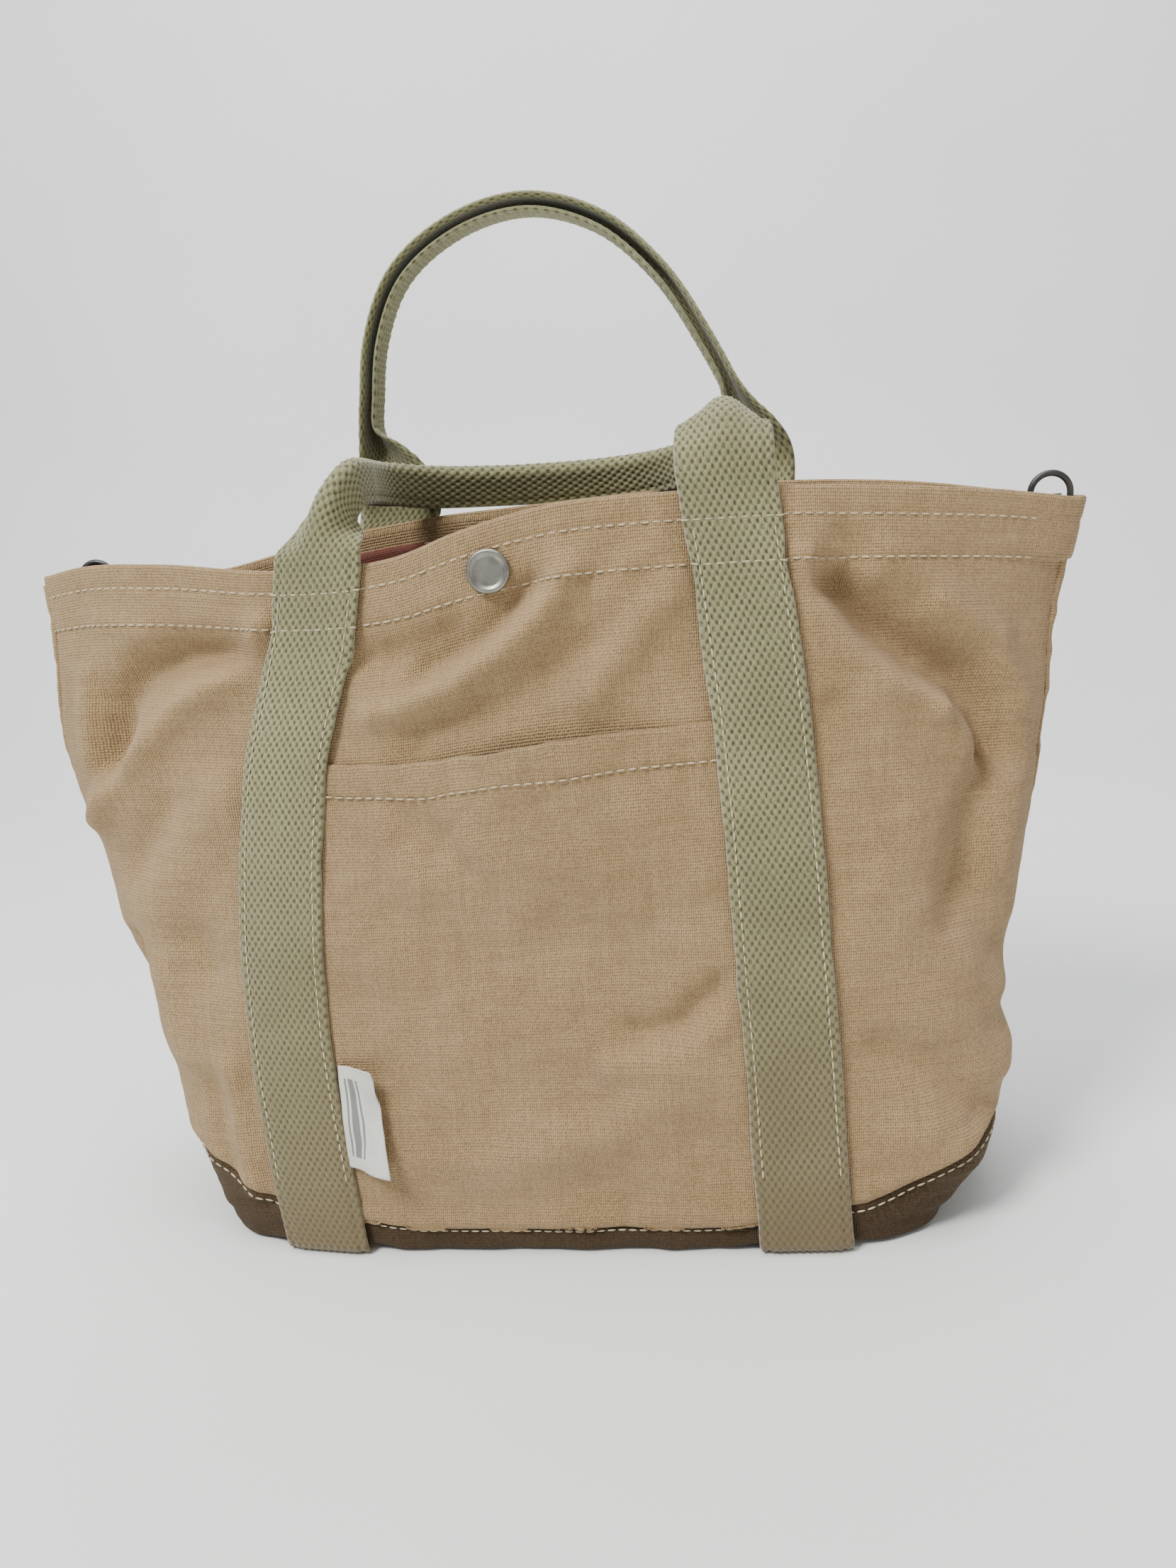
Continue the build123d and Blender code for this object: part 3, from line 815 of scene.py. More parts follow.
def stitch_rows(name, rows):
    """Bake stitches along rows of points into one plain mesh piece."""
    sizes = bpy.context.scene.tote_sizes
    points, edges = [], []
    for row in rows:
        first = len(points)
        points += [tuple(point) for point in row]
        edges += [(first + k, first + k + 1) for k in range(len(row) - 1)]
    mesh = bpy.data.meshes.new(name)
    mesh.from_pydata(points, edges, [])
    piece = bpy.data.objects.new(name, mesh)
    bpy.context.scene.collection.objects.link(piece)
    sewing = piece.modifiers.new("Sewing", "NODES")
    sewing.node_group = bpy.data.node_groups.get("Stitch run") or stitch_tree()
    given = {
        "Stitch pitch": sizes.stitch_pitch,
        "Stitch length": sizes.stitch_length,
        "Thread radius": sizes.thread_radius,
        "Thread": finish_of("Cream thread"),
    }
    for item in sewing.node_group.interface.items_tree:
        if item.in_out == "INPUT" and item.name in given:
            sewing[item.identifier] = given[item.name]
    seen = bpy.context.evaluated_depsgraph_get()
    baked = bpy.data.meshes.new_from_object(piece.evaluated_get(seen))
    piece.modifiers.remove(sewing)
    piece.data = baked
    baked.name = name
    return piece


def length(name, description, default):
    """Length property of the bag."""
    return bpy.props.FloatProperty(name=name, description=description, default=default, unit="LENGTH")


class ToteSizes(bpy.types.PropertyGroup):
    """Sizes of the bag's cloth, webbing and stitches."""

    warp_pitch: length("Warp Pitch", "Space between the canvas's upright yarns", 0.86 * MM)
    weft_pitch: length("Weft Pitch", "Space between the canvas's level yarns", 1.24 * MM)
    canvas_thickness: length("Canvas Thickness", "Thickness of the canvas", 1.1 * MM)
    lining_thickness: length("Lining Thickness", "Thickness of the lining", 0.7 * MM)
    webbing_width: length("Webbing Width", "Width of the straps", STRAP_WIDTH)
    webbing_thickness: length("Webbing Thickness", "Thickness of the straps", 2.3 * MM)
    webbing_pitch: length("Webbing Pitch", "Space between the webbing's bumps across it", 3.0 * MM)
    webbing_row: length("Webbing Row", "Space between the webbing's rows of bumps", 2.35 * MM)
    webbing_relief: length("Webbing Relief", "Height of the webbing's bumps", 1.0 * MM)
    edge_inset: length("Edge Inset", "Place of the strap's stitch rows from its edges", 3.6 * MM)
    stitch_pitch: length("Stitch Pitch", "Space from one stitch to the next", 4.5 * MM)
    stitch_length: length("Stitch Length", "Length of thread that shows in one stitch", 3.5 * MM)
    thread_radius: length("Thread Radius", "Radius of the sewing thread", 0.42 * MM)


def tone(name, description, red, green, blue):
    """Colour property of a finish."""
    return bpy.props.FloatVectorProperty(
        name=name, description=description, default=(red, green, blue, 1.0),
        subtype="COLOR", size=4, min=0.0, max=1.0)


class ToteTones(bpy.types.PropertyGroup):
    """Colours of the bag's finishes."""

    tan: tone("Tan", "Canvas of the bag's walls", 0.475, 0.33, 0.168)
    tan_dark: tone("Tan Shade", "Painted gap shade, blotches and lower darkening of the tan canvas", 0.235, 0.14, 0.062)
    olive: tone("Olive", "Canvas of the bag's base", 0.125, 0.082, 0.032)
    olive_dark: tone("Olive Shade", "Painted gap shade, blotches and lower darkening of the base canvas", 0.035, 0.018, 0.008)
    sage: tone("Sage", "Webbing of the straps", 0.275, 0.272, 0.142)
    sage_dark: tone("Sage Shade", "Painted shade in the pits of the webbing", 0.07, 0.06, 0.03)
    sage_lower_end: tone("Sage Lower End", "Browner, darker lower end of the straps", 0.13, 0.09, 0.045)
    brick: tone("Brick", "Lining of the bag", 0.17, 0.055, 0.036)
    brick_dark: tone("Brick Shade", "Painted gap shade and blotches of the lining", 0.07, 0.02, 0.014)
    thread: tone("Thread", "Sewing thread", 0.62, 0.53, 0.37)
    thread_dark: tone("Thread Shade", "Painted shade in the twist's grooves, and soil of the thread", 0.33, 0.25, 0.15)
    steel: tone("Steel", "Snap fastener", 0.30, 0.29, 0.255)
    black: tone("Black", "Side tapes and rings", 0.014, 0.014, 0.017)
    label: tone("Label", "Woven label", 0.72, 0.71, 0.66)
    label_ink: tone("Label Stripe", "Stripes of the label", 0.10, 0.12, 0.11)
    floor: tone("Floor", "Floor and backdrop", 0.84, 0.86, 0.85)


# Middle line of each handle between its sewn straps: points, lean of its face, share of its lengthwise fold
HANDLE_LINES = {
    -1: (
        ((-82.5, -42.6, 299), (0, 1, 0), 0.08), ((-80, -42.2, 307.5), (0, 1, 0), 0.34),
        ((-75, -39.5, 316.5), (0, 0.85, -0.4), 0.66), ((-69, -32, 322), (0, 0.45, -0.85), 0.88),
        ((-67, -20, 322.5), (0, 0.1, -1), 1.0), ((-69, -4, 322.5), (0, 0.05, -1), 1.0),
        ((-68, 18, 321.5), (0, 0.1, -1), 1.0), ((-52, 38, 319), (0, 0.3, -0.95), 1.0),
        ((-28, 48.5, 317.5), (0, 0.45, -0.9), 1.0), ((2, 52, 316.5), (0, 0.45, -0.9), 1.0),
        ((30, 49, 316.5), (0, 0.45, -0.9), 1.0), ((53, 39, 317.5), (0, 0.3, -0.95), 1.0),
        ((70, 20, 321), (0, 0.1, -1), 1.0), ((77.5, 2, 326), (0, 0.05, -1), 0.95),
        ((80, -15, 333), (0, 0.15, -1), 0.72), ((81, -28, 338.5), (0, 0.4, -0.9), 0.46),
        ((80.5, -38, 335), (0, 0.85, -0.5), 0.24), ((80.5, -42.6, 326), (0, 1, 0), 0.1),
        ((80.5, -42.8, 316), (0, 1, 0), 0.0)),
    1: (
        ((-72, 42.5, 304), (0, 1, 0), 0.0), ((-69.5, 42.5, 318), (0, 1, 0), 0.15),
        ((-73, 42, 332), (0, 1, 0), 0.55), ((-77.5, 41, 345), (0, 1, 0), 0.95),
        ((-75.5, 40, 361), (0, 1, 0), 1.0), ((-71, 40, 383), (0, 1, 0), 1.0),
        ((-58, 40, 408), (0, 1, 0), 1.0), ((-29, 40, 427), (0, 1, 0), 1.0),
        ((4, 40, 432), (0, 1, 0), 1.0), ((33, 40, 422), (0, 1, 0), 1.0),
        ((56, 40, 401), (0, 1, 0), 1.0), ((74, 40, 372), (0, 1, 0), 1.0),
        ((86, 41, 346), (0, 1, 0), 0.9), ((90, 42, 331), (0, 1, 0), 0.5),
        ((92, 42.5, 318), (0, 1, 0), 0.12)),
}
# Section of the snap's cap from its middle round to its back: share of radius, height in millimetres
CAP_PROFILE = (
    (0.02, 1.55), (0.2, 1.5), (0.45, 1.35), (0.62, 1.2), (0.70, 1.35), (0.76, 1.8), (0.82, 2.05),
    (0.90, 2.0), (0.97, 1.6), (1.0, 1.0), (0.98, 0.45), (0.9, 0.15), (0.5, 0.1), (0.02, 0.1),
)
# Stand of the webbing off the wall, front and back, and the step of its rows
STRAP_LIFT = {-1: 3.3 * MM, 1: 2.5 * MM}
ROW_STEP = 1.175 * MM


def sewn_grid(side, strap, across):
    """Middle surface and normals of a sewn strap, from under the base up to the rim."""
    lift, bend = STRAP_LIFT[side], STRAP_BEND
    heights = np.linspace(bend + STRAP_GROUND, RIM, STRAP_CLIMB_ROWS)
    wide = strap_x(strap, heights)[:, None] + across[None]
    surface = wall(side)
    share = girth_share(side, wide, heights)
    places, normals = surface.at(share, np.repeat(heights[:, None], len(across), 1))
    pulled = 0.5 * MM * smooth((np.abs(across) - 12 * MM) / (7 * MM))
    sway = 0.25 * MM * ripple(wide / MM, heights[:, None] / MM, 31 + side, 25, 70, 9)
    places = places + normals * (lift - pulled + sway)[..., None]
    start = places[0]
    turn = np.linspace(math.pi / 2, 0, 9)[:-1, None]
    corner = np.stack([start[:, 0] + 0 * turn, start[:, 1] - side * bend * (1 - np.cos(turn)),
                       start[:, 2] - bend * np.sin(turn)], -1)
    flat = 0 * across
    facing = np.stack([0 * turn + flat, side * np.cos(turn) + flat, -np.sin(turn) + flat], -1)
    reach = corner[0, :, 1] * np.linspace(0.002, 1, 60)[:-1, None]
    under = np.stack([start[:, 0] + 0 * reach, reach, corner[0, :, 2] + 0 * reach], -1)
    down = np.zeros_like(under)
    down[..., 2] = -1
    return np.concatenate([under, corner, places]), np.concatenate([down, facing, normals])


def folded_section(across, fold, out, lateral):
    """Offsets and normals of webbing folded lengthwise by a share, edges turned from its outer face."""
    turn = np.maximum(fold, 1e-3)[:, None] * math.pi / 2
    radius = mix(14 * MM, 2.7 * MM, smooth(fold * 1.25))[:, None]
    away = np.abs(across)[None]
    bent = np.minimum(away / radius, turn)
    straight = np.maximum(away - radius * turn, 0)
    sideways = np.sign(across) * (radius * np.sin(bent) + straight * np.cos(turn))
    depth = -radius * (1 - np.cos(bent)) - straight * np.sin(turn)
    depth = depth - depth.mean(1, keepdims=True) * smooth(fold)[:, None]
    offset = sideways[..., None] * lateral[:, None] + depth[..., None] * out[:, None]
    slant = np.sign(across) * np.sin(bent)
    face = np.cos(bent)[..., None] * out[:, None] + slant[..., None] * lateral[:, None]
    return offset, unit(face)


def handle_grid(side, across, left, right):
    """Middle surface and normals of a handle between the rim ends of its two sewn straps."""
    line = HANDLE_LINES[side]
    first, last = left[0][-1], right[0][0]
    controls = np.array([first.mean(0)] + [np.array(point) * MM for point, _, _ in line] + [last.mean(0)])
    leans = np.array([(0, 1, 0)] + [lean for _, lean, _ in line] + [(0, 1, 0)], float)
    folds = np.array([0.0] + [fold for _, _, fold in line] + [0.0])
    chord = np.concatenate([[0], np.cumsum(np.linalg.norm(np.diff(controls, axis=0), axis=1))])
    along = np.linspace(0, chord[-1], HANDLE_ROWS)
    path = curve_through(chord, controls, along)
    lean = unit(curve_through(chord, leans, along))
    fold = np.clip(curve_through(chord, folds, along), 0, 1)
    tangent = unit(np.gradient(path, axis=0))
    lateral = unit(np.cross(tangent, lean))
    out = side * unit(np.cross(lateral, tangent))
    offset, face = folded_section(across, fold, out, lateral)
    for end, grid, row in ((along, left, -1), (chord[-1] - along, right, 0)):
        share = smooth(end / (26 * MM))[:, None, None]
        kept = grid[0][row] - grid[0][row].mean(0)
        offset = mix(kept[None], offset, share)
        face = unit(mix(grid[1][row][None], face, share))
    if side < 0:
        near_crest = np.exp(-((along - 20 * MM) / (10 * MM)) ** 2)
        droop = near_crest[:, None] * smooth((across / MM - 1) / 17)[None]
        offset = offset + droop[..., None] * np.array([2.0, 5.0, -7.5]) * MM
    return path[:, None] + offset, face


def even_rows(points, normals, centre):
    """The same strip with its rows evenly spaced along its middle."""
    steps = np.linalg.norm(np.diff(points[:, centre], axis=0), axis=1)
    length = np.concatenate([[0], np.cumsum(steps)])
    count = int(length[-1] / ROW_STEP)
    wanted = np.linspace(0, length[-1], count)
    row = np.interp(wanted, length, np.arange(len(length)))
    low = np.minimum(row.astype(int), len(length) - 2)
    share = (row - low)[:, None, None]
    places = mix(points[low], points[low + 1], share)
    return places, unit(mix(normals[low], normals[low + 1], share)), wanted


def handle_strip(side, sizes):
    """One length of webbing: up a strap, along the handle and down the other strap."""
    face_name = "front" if side < 0 else "back"
    across, face, relief = ribbon_ring(sizes, WEBBING_TOP_COLUMNS, WEBBING_BACK_COLUMNS)
    left = sewn_grid(side, face_name + "_left", -across)
    right = sewn_grid(side, face_name + "_right", across)
    right = (right[0][::-1], right[1][::-1])
    loop = handle_grid(side, across, left, right)
    points = np.concatenate([left[0], loop[0][1:-1], right[0]])
    normals = np.concatenate([left[1], loop[1][1:-1], right[1]])
    points, normals, along = even_rows(points, normals, WEBBING_TOP_COLUMNS // 2)
    wide = np.repeat(across[None], len(along), 0)
    long = np.repeat(along[:, None], len(across), 1)
    return webbing_tube(face_name + "_strap_and_handle", points, normals, wide, long, sizes,
                        face, relief, finish_of("Sage webbing"))


def strap_rows(side, strap, sizes):
    """Lines of the stitch rows along a sewn strap's edges and across it at the hem."""
    inset = sizes.webbing_width / 2 - sizes.edge_inset
    above = sizes.webbing_thickness / 2 - 0.1 * MM
    places, normals = sewn_grid(side, strap, np.array([-inset, inset]))
    above_fold, below_rim = 96, 14
    rows = [(places + normals * above)[above_fold:-below_rim, column] for column in (0, 1)]
    wide = np.linspace(-sizes.webbing_width / 2 + 1 * MM, sizes.webbing_width / 2 - 1 * MM, 14)
    places, normals = sewn_grid(side, strap, wide)
    span = RIM - STRAP_BEND - STRAP_GROUND
    for below in HEM_ROWS:
        row = -1 - int(round(below / span * (STRAP_CLIMB_ROWS - 1)))
        rows.append((places + normals * above)[row])
    return rows


def wall_row(side, share, height, above):
    """Line of points that stand off the wall, by shares of girth and nominal heights."""
    places, normals = wall(side).at(share, height)
    return places + normals * above


class TOTE_OT_panels(bpy.types.Operator):
    """Make the two canvas panels with their rolled hems"""

    bl_idname = "tote.panels"
    bl_label = "Canvas Panels"

    def execute(self, context):
        for side, face in ((-1, "front"), (1, "back")):
            points, uvs = panel_points(side)
            piece = cloth_sheet(face + "_canvas", points, uvs, side,
                                context.scene.tote_sizes.canvas_thickness, finish_of("Tan canvas"))
            settle(piece, "bag", "canvas_tan", face + "_panel", face + "_hem")
        return {"FINISHED"}


class TOTE_OT_base(bpy.types.Operator):
    """Make the base cloth, folded up round the bottom and squared at its corners"""

    bl_idname = "tote.base"
    bl_label = "Base"

    def execute(self, context):
        share = np.linspace(-1, 1, 181)
        halves = []
        for side in (-1, 1):
            tucked, low = seam_height(share) + 5 * MM, 4.2 * MM
            heights = low + (tucked - low) * np.linspace(1, 0, 26)[:, None]
            places, normals = wall(side).at(np.repeat(share[None], len(heights), 0), heights)
            above = np.clip(seam_height(share) - heights, 0, 1)
            sunk = -1.9 * smooth((heights - seam_height(share) + 1.5 * MM) / (2 * MM)) - 0.1
            dents = 0.5 * ripple(places[..., 0] / MM, 3 * places[..., 2] / MM, 41 + side, 18, 50)
            places = places + normals * ((sunk + dents * smooth(above * 200)) * MM)[..., None]
            halves.append((places, normals))
        front, back = halves
        ring = np.concatenate([front[0], back[0][:, ::-1][:, 1:-1]], 1)
        out = np.concatenate([front[1], back[1][:, ::-1][:, 1:-1]], 1)[-1]
        out[:, 2] = 0
        out = unit(out)
        edge = ring[-1]
        sunk = self.floor_height(edge[:, 0])
        bend = 3.5 * MM
        turn = np.linspace(0, math.pi / 2, 7)[1:, None]
        drop = (edge[:, 2] - sunk)[None] * np.sin(turn)
        corner = edge[None] - out[None] * (bend * (1 - np.cos(turn)))[..., None]
        corner[..., 2] = edge[:, 2] - drop
        shrink = np.linspace(1, 0.004, 30)[1:, None, None] * np.ones((1, 1, 3))
        shrink[..., 2] = 1
        floor = corner[-1][None] * shrink
        floor[..., 2] = self.floor_height(floor[..., 0])
        points = np.concatenate([ring, corner, floor])
        uvs = np.stack([points[..., 0], points[..., 1] * 0.3 + points[..., 2]], -1)
        rows, columns = points.shape[:2]
        faces = grid_faces(rows, columns, closed=True, flip=True)
        piece = make_piece("base_canvas", points, faces, uvs, finish_of("Olive canvas"))
        close_rings(piece, last_ring(rows, columns))
        add_thickness(piece, context.scene.tote_sizes.canvas_thickness)
        settle(piece, "bag", "canvas_olive", "base_panel")
        return {"FINISHED"}

    def floor_height(self, x):
        """Height of the underside: over the straps it is lifted, elsewhere it sags to the floor."""
        away = np.minimum(np.abs(x - strap_x("front_left", 0)), np.abs(x - strap_x("front_right", 0)))
        return mix(3.0, 0.5, smooth((away / MM - 19.5) / 14)) * MM


class TOTE_OT_pocket(bpy.types.Operator):
    """Make the patch pocket, its mouth eased open and its edges under the straps"""

    bl_idname = "tote.pocket"
    bl_label = "Pocket"

    def execute(self, context):
        points, uvs = pocket_grid(np.linspace(0, 1, 201), np.linspace(-0.03, 1, 150))
        top, down = points[-1], unit(points[-4] - points[-1])
        out = unit(np.cross(np.gradient(points[-1], axis=0), down))
        out = out * np.sign(-out[:, 1:2])
        radius = 1.2 * MM
        turns = np.linspace(0, math.pi, 7)[1:, None, None]
        roll = top - out * radius * (1 - np.cos(turns)) - down * radius * np.sin(turns)
        depth = np.linspace(1, 13, 8)[:, None, None] * MM
        inside = roll[-1] + down * depth
        points = np.concatenate([points, roll, inside])
        more = np.repeat(uvs[-1:], len(points) - len(uvs), 0)
        more[..., 1] += np.linspace(0.5, 15, len(more))[:, None] * MM
        piece = cloth_sheet("pocket_canvas", points, np.concatenate([uvs, more]), -1,
                            context.scene.tote_sizes.canvas_thickness, finish_of("Tan canvas"))
        settle(piece, "bag", "canvas_tan", "front_pocket")
        return {"FINISHED"}


def pocket_grid(across, rise):
    """Outer face of the pocket by shares of its width and height."""
    heights = np.repeat((rise * (POCKET_TOP - POCKET_FOOT) + POCKET_FOOT)[:, None], len(across), 1)
    mouth = curve_through((0, 0.3, 0.6, 1), (0.0, -3.0, -1.5, 1.5), across) * MM
    heights = heights + mouth * np.clip(rise, 0, 1)[:, None] ** 4
    flat = heights[:, 0]
    left = strap_x("front_left", flat) + 9 * MM
    right = strap_x("front_right", flat) - 9 * MM
    wide = left[:, None] + (right - left)[:, None] * across[None]
    share = np.array([wall(-1, False).share_at(row, level) for row, level in zip(wide, flat)])
    bottom = seam_height(share) - 1.5 * MM
    heights = np.maximum(heights, bottom)
    places, normals = wall(-1).at(share, heights)
    middle = np.abs(wide / MM + 6) / 66
    gape = 8.0 * np.clip(rise, 0, 1)[:, None] ** 3 * np.clip(1 - middle ** 2, 0, 1) ** 2
    below = (heights[-1:] - heights) / MM
    hem = -0.35 * np.exp(-((below - 13) / 1.3) ** 2) + 0.4 * smooth((14 - below) / 2)
    hem += 0.18 * np.exp(-((below - 13) / 6) ** 2) * ripple(wide / MM, 0 * wide, 71, 7, 16, 9)
    own = 0.35 * ripple(wide / MM, heights / MM, 77, 25, 60)
    puff = np.maximum(edge_puff(heights - bottom) / MM, -0.5)
    push = (1.5 + gape + hem + own + puff) * MM
    return places + normals * push[..., None], np.stack([wide, heights], -1)


class TOTE_OT_lining(bpy.types.Operator):
    """Make the brick lining of the walls and the floor"""

    bl_idname = "tote.lining"
    bl_label = "Lining"

    def execute(self, context):
        thickness = context.scene.tote_sizes.lining_thickness
        for side, face in ((-1, "front"), (1, "back")):
            share, heights = np.meshgrid(np.linspace(-SEWN_SHARE, SEWN_SHARE, 141), np.linspace(24, 292, 96))
            heights = heights * MM
            places, normals = wall(side).at(share, heights)
            loose = 0.25 + 0.25 * ripple(share * HALF_GIRTH / MM, heights / MM, 51 + side, 14, 45)
            over_hem = 2.4 * smooth((heights / MM - 266) / 8)
            places = places - normals * ((1.3 + over_hem + np.clip(loose, 0, 0.5)) * MM)[..., None]
            piece = cloth_sheet(face + "_lining_cloth", places, cloth_uvs(share, heights), side,
                                thickness, finish_of("Brick lining"))
            settle(piece, "bag", "lining_brick", face + "_lining")
        self.floor_cloth(thickness)
        return {"FINISHED"}

    def floor_cloth(self, thickness):
        """Lining of the floor."""
        half = outline_row(18 * MM, 121)
        ring = np.concatenate([half, -half[1:-1]])
        rows = 40
        shares = np.linspace(SEWN_SHARE, 0.003, rows)[:, None, None]
        flat = ring[None] * shares
        raised = 1.2 * ripple(flat[..., 0] / MM, flat[..., 1] / MM, 61, 40, 120)
        edge = 12 * smooth((shares[..., 0] - 0.9) / 0.085)
        height = (6.0 + raised * (1 - shares[..., 0]) + edge) * MM
        points = np.concatenate([flat, height[..., None]], -1)
        faces = grid_faces(rows, len(ring), closed=True)
        piece = make_piece("floor_lining_cloth", points, faces, flat, finish_of("Brick lining"))
        close_rings(piece, last_ring(rows, len(ring)))
        if not piece.data.polygons[0].normal.z > 0:
            piece.data.flip_normals()
        add_thickness(piece, thickness)
        settle(piece, "bag", "lining_brick", "base_lining")


class TOTE_OT_straps(bpy.types.Operator):
    """Make both lengths of webbing, each with its two sewn straps and its handle"""

    bl_idname = "tote.straps"
    bl_label = "Straps and Handles"

    def execute(self, context):
        sizes = context.scene.tote_sizes
        front = handle_strip(-1, sizes)
        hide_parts("strap_front_left", "strap_front_right",
                    "strap_under_left", "strap_under_right", "front_grip")
        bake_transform(front)
        back = handle_strip(1, sizes)
        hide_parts("strap_back_left", "strap_back_right", "rear_grip")
        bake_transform(back)
        return {"FINISHED"}


class TOTE_OT_sides(bpy.types.Operator):
    """Make the doubled side seams and the black tape tabs that hold the rings"""

    bl_idname = "tote.sides"
    bl_label = "Side Seams and Tabs"

    def execute(self, context):
        for end, face in ((-1, "left"), (1, "right")):
            self.seam(end, face)
            self.tab(face)
        return {"FINISHED"}

    def seam(self, end, face):
        """Doubled strip of canvas over the join of the panels."""
        heights = np.linspace(46, 297, 120)[:, None] * MM
        near = np.linspace(0.018, 0.0, 6)[None]
        front, front_out = wall(-1).at(end * (1 - near) + 0 * heights, heights + 0 * near)
        back, back_out = wall(1).at(end * (1 - near[:, ::-1]) + 0 * heights, heights + 0 * near)
        places = np.concatenate([front, back], 1)
        out = np.concatenate([front_out, back_out], 1)
        rise = np.array([0.1, 0.9, 1.3, 1.4, 1.5, 1.5, 1.5, 1.5, 1.4, 1.3, 0.9, 0.1])
        dents = 0.3 * ripple(heights / MM, 0 * heights, 81 + end, 6, 18, 9)
        places = places + out * ((rise + dents) * MM)[..., None]
        uvs = np.stack([np.linspace(0, 0.009, 12) + 0 * heights, heights + 0 * rise], -1)
        faces = grid_faces(*places.shape[:2], flip=end < 0)
        piece = make_piece(face + "_seam_strip", places, faces, uvs, finish_of("Tan canvas"))
        add_thickness(piece, 1.0 * MM)
        settle(piece, "bag", "canvas_tan", face + "_side_seam")

    def tab(self, face):
        """Tape that goes over the ring's bar and down into the seam."""
        low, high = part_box(face + "_ring_tab")
        radius = (high.y - low.y) / 2 - 0.5 * MM
        middle_z, middle_x = high.z - radius - 0.5 * MM, (low.x + high.x) / 2
        down = np.linspace(low.z + 0.5 * MM, middle_z, 14)
        turn = np.linspace(math.pi, 0, 13)[1:-1]
        ys = np.concatenate([-radius + 0 * down, radius * np.cos(turn), radius + 0 * down])
        zs = np.concatenate([down, middle_z + radius * np.sin(turn), down[::-1]])
        half = (high.x - low.x) / 2
        across = np.linspace(-half, half, 9)
        points = np.stack([middle_x + across + 0 * ys[:, None], ys[:, None] + 0 * across,
                           zs[:, None] + 0 * across], -1)
        middle = np.stack([0 * ys, ys, zs - middle_z], -1)
        middle[:, 2] = np.maximum(middle[:, 2], 0)
        points = points + (unit(middle) * 0.45 * MM)[:, None]
        uvs = np.stack([across + 0 * ys[:, None], np.linspace(0, 0.04, len(ys))[:, None] + 0 * across], -1)
        faces = grid_faces(*points.shape[:2])
        piece = make_piece(face + "_ring_tape", points, faces, uvs, finish_of("Black tape"))
        if not piece.data.polygons[0].normal.y < 0:
            piece.data.flip_normals()
        add_thickness(piece, 0.9 * MM)
        settle(piece, "bag", "tape_black", face + "_ring_tab")


class TOTE_OT_label(bpy.types.Operator):
    """Make the small woven label, its free edge curled forward"""

    bl_idname = "tote.label"
    bl_label = "Label"

    def execute(self, context):
        across, rise = np.linspace(0, 1, 25)[None], np.linspace(0, 1, 50)[:, None]
        z = (40.5 + 45 * rise - 1.2 * across * rise) * MM
        width = 21 - 5.5 * rise
        x = (-93.5 - 1.0 * rise + width * across) * MM
        share = np.array([wall(-1, False).share_at(row, level) for row, level in zip(x, z[:, 0])])
        places, normals = wall(-1).at(share, z + 0 * x)
        wave = 2.2 * (2 * rise - 1) ** 2 + 0.8 * np.sin(5 * rise + 1)
        curl = 3.4 + 4.2 * across ** 1.6 + wave * across
        points = places + normals * (curl * MM)[..., None]
        uvs = np.stack([LABEL_SIZE[0] * across + 0 * rise, LABEL_SIZE[1] * rise + 0 * across], -1)
        piece = cloth_sheet("woven_label", points, uvs, -1, 0.6 * MM, finish_of("Woven label"))
        settle(piece, "bag", "label_white", "label")
        return {"FINISHED"}


class TOTE_OT_metal(bpy.types.Operator):
    """Finish the snap fastener and the side rings"""

    bl_idname = "tote.metal"
    bl_label = "Snap and Rings"

    def execute(self, context):
        for node in ("snap_socket", "snap_stud", "snap_back_cap"):
            repaint(node, "Snap steel")
        for node in ("left_d_ring", "right_d_ring"):
            repaint(node, "Black enamel")
        self.cap()
        return {"FINISHED"}

    def cap(self):
        """Front cap of the snap: a rolled edge round a shallow dish."""
        low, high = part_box("snap_cap")
        centre = (low + high) / 2
        radius = (high.x - low.x) / 2
        out = unit(np.array([0, -1.0, 0.06]))
        side_way = np.array([1.0, 0, 0])
        up = np.cross(side_way, -out)
        up = up * np.sign(up[2])
        turn = np.linspace(0, 2 * math.pi, 65)[:-1]
        share = wall(-1, False).share_at(centre.x, centre.z)
        places, _ = wall(-1).at(np.array([share]), np.array([centre.z - 4 * MM]))
        seat = np.array([centre.x, min(places[0, 1] - 1.0 * MM, high.y - 0.2 * MM), centre.z])
        rings = []
        for reach, height in CAP_PROFILE:
            ring = np.cos(turn)[:, None] * side_way + np.sin(turn)[:, None] * up
            rings.append(seat + ring * reach * radius + out * height * MM)
        points = np.array(rings)
        uvs = points[..., (0, 2)]
        rows, columns = points.shape[:2]
        faces = grid_faces(rows, columns, closed=True)
        piece = make_piece("snap_front_cap", points, faces, uvs, finish_of("Snap steel"))
        close_tube(piece, rows, columns)
        settle(piece, "bag", "snap_steel", "snap_cap")


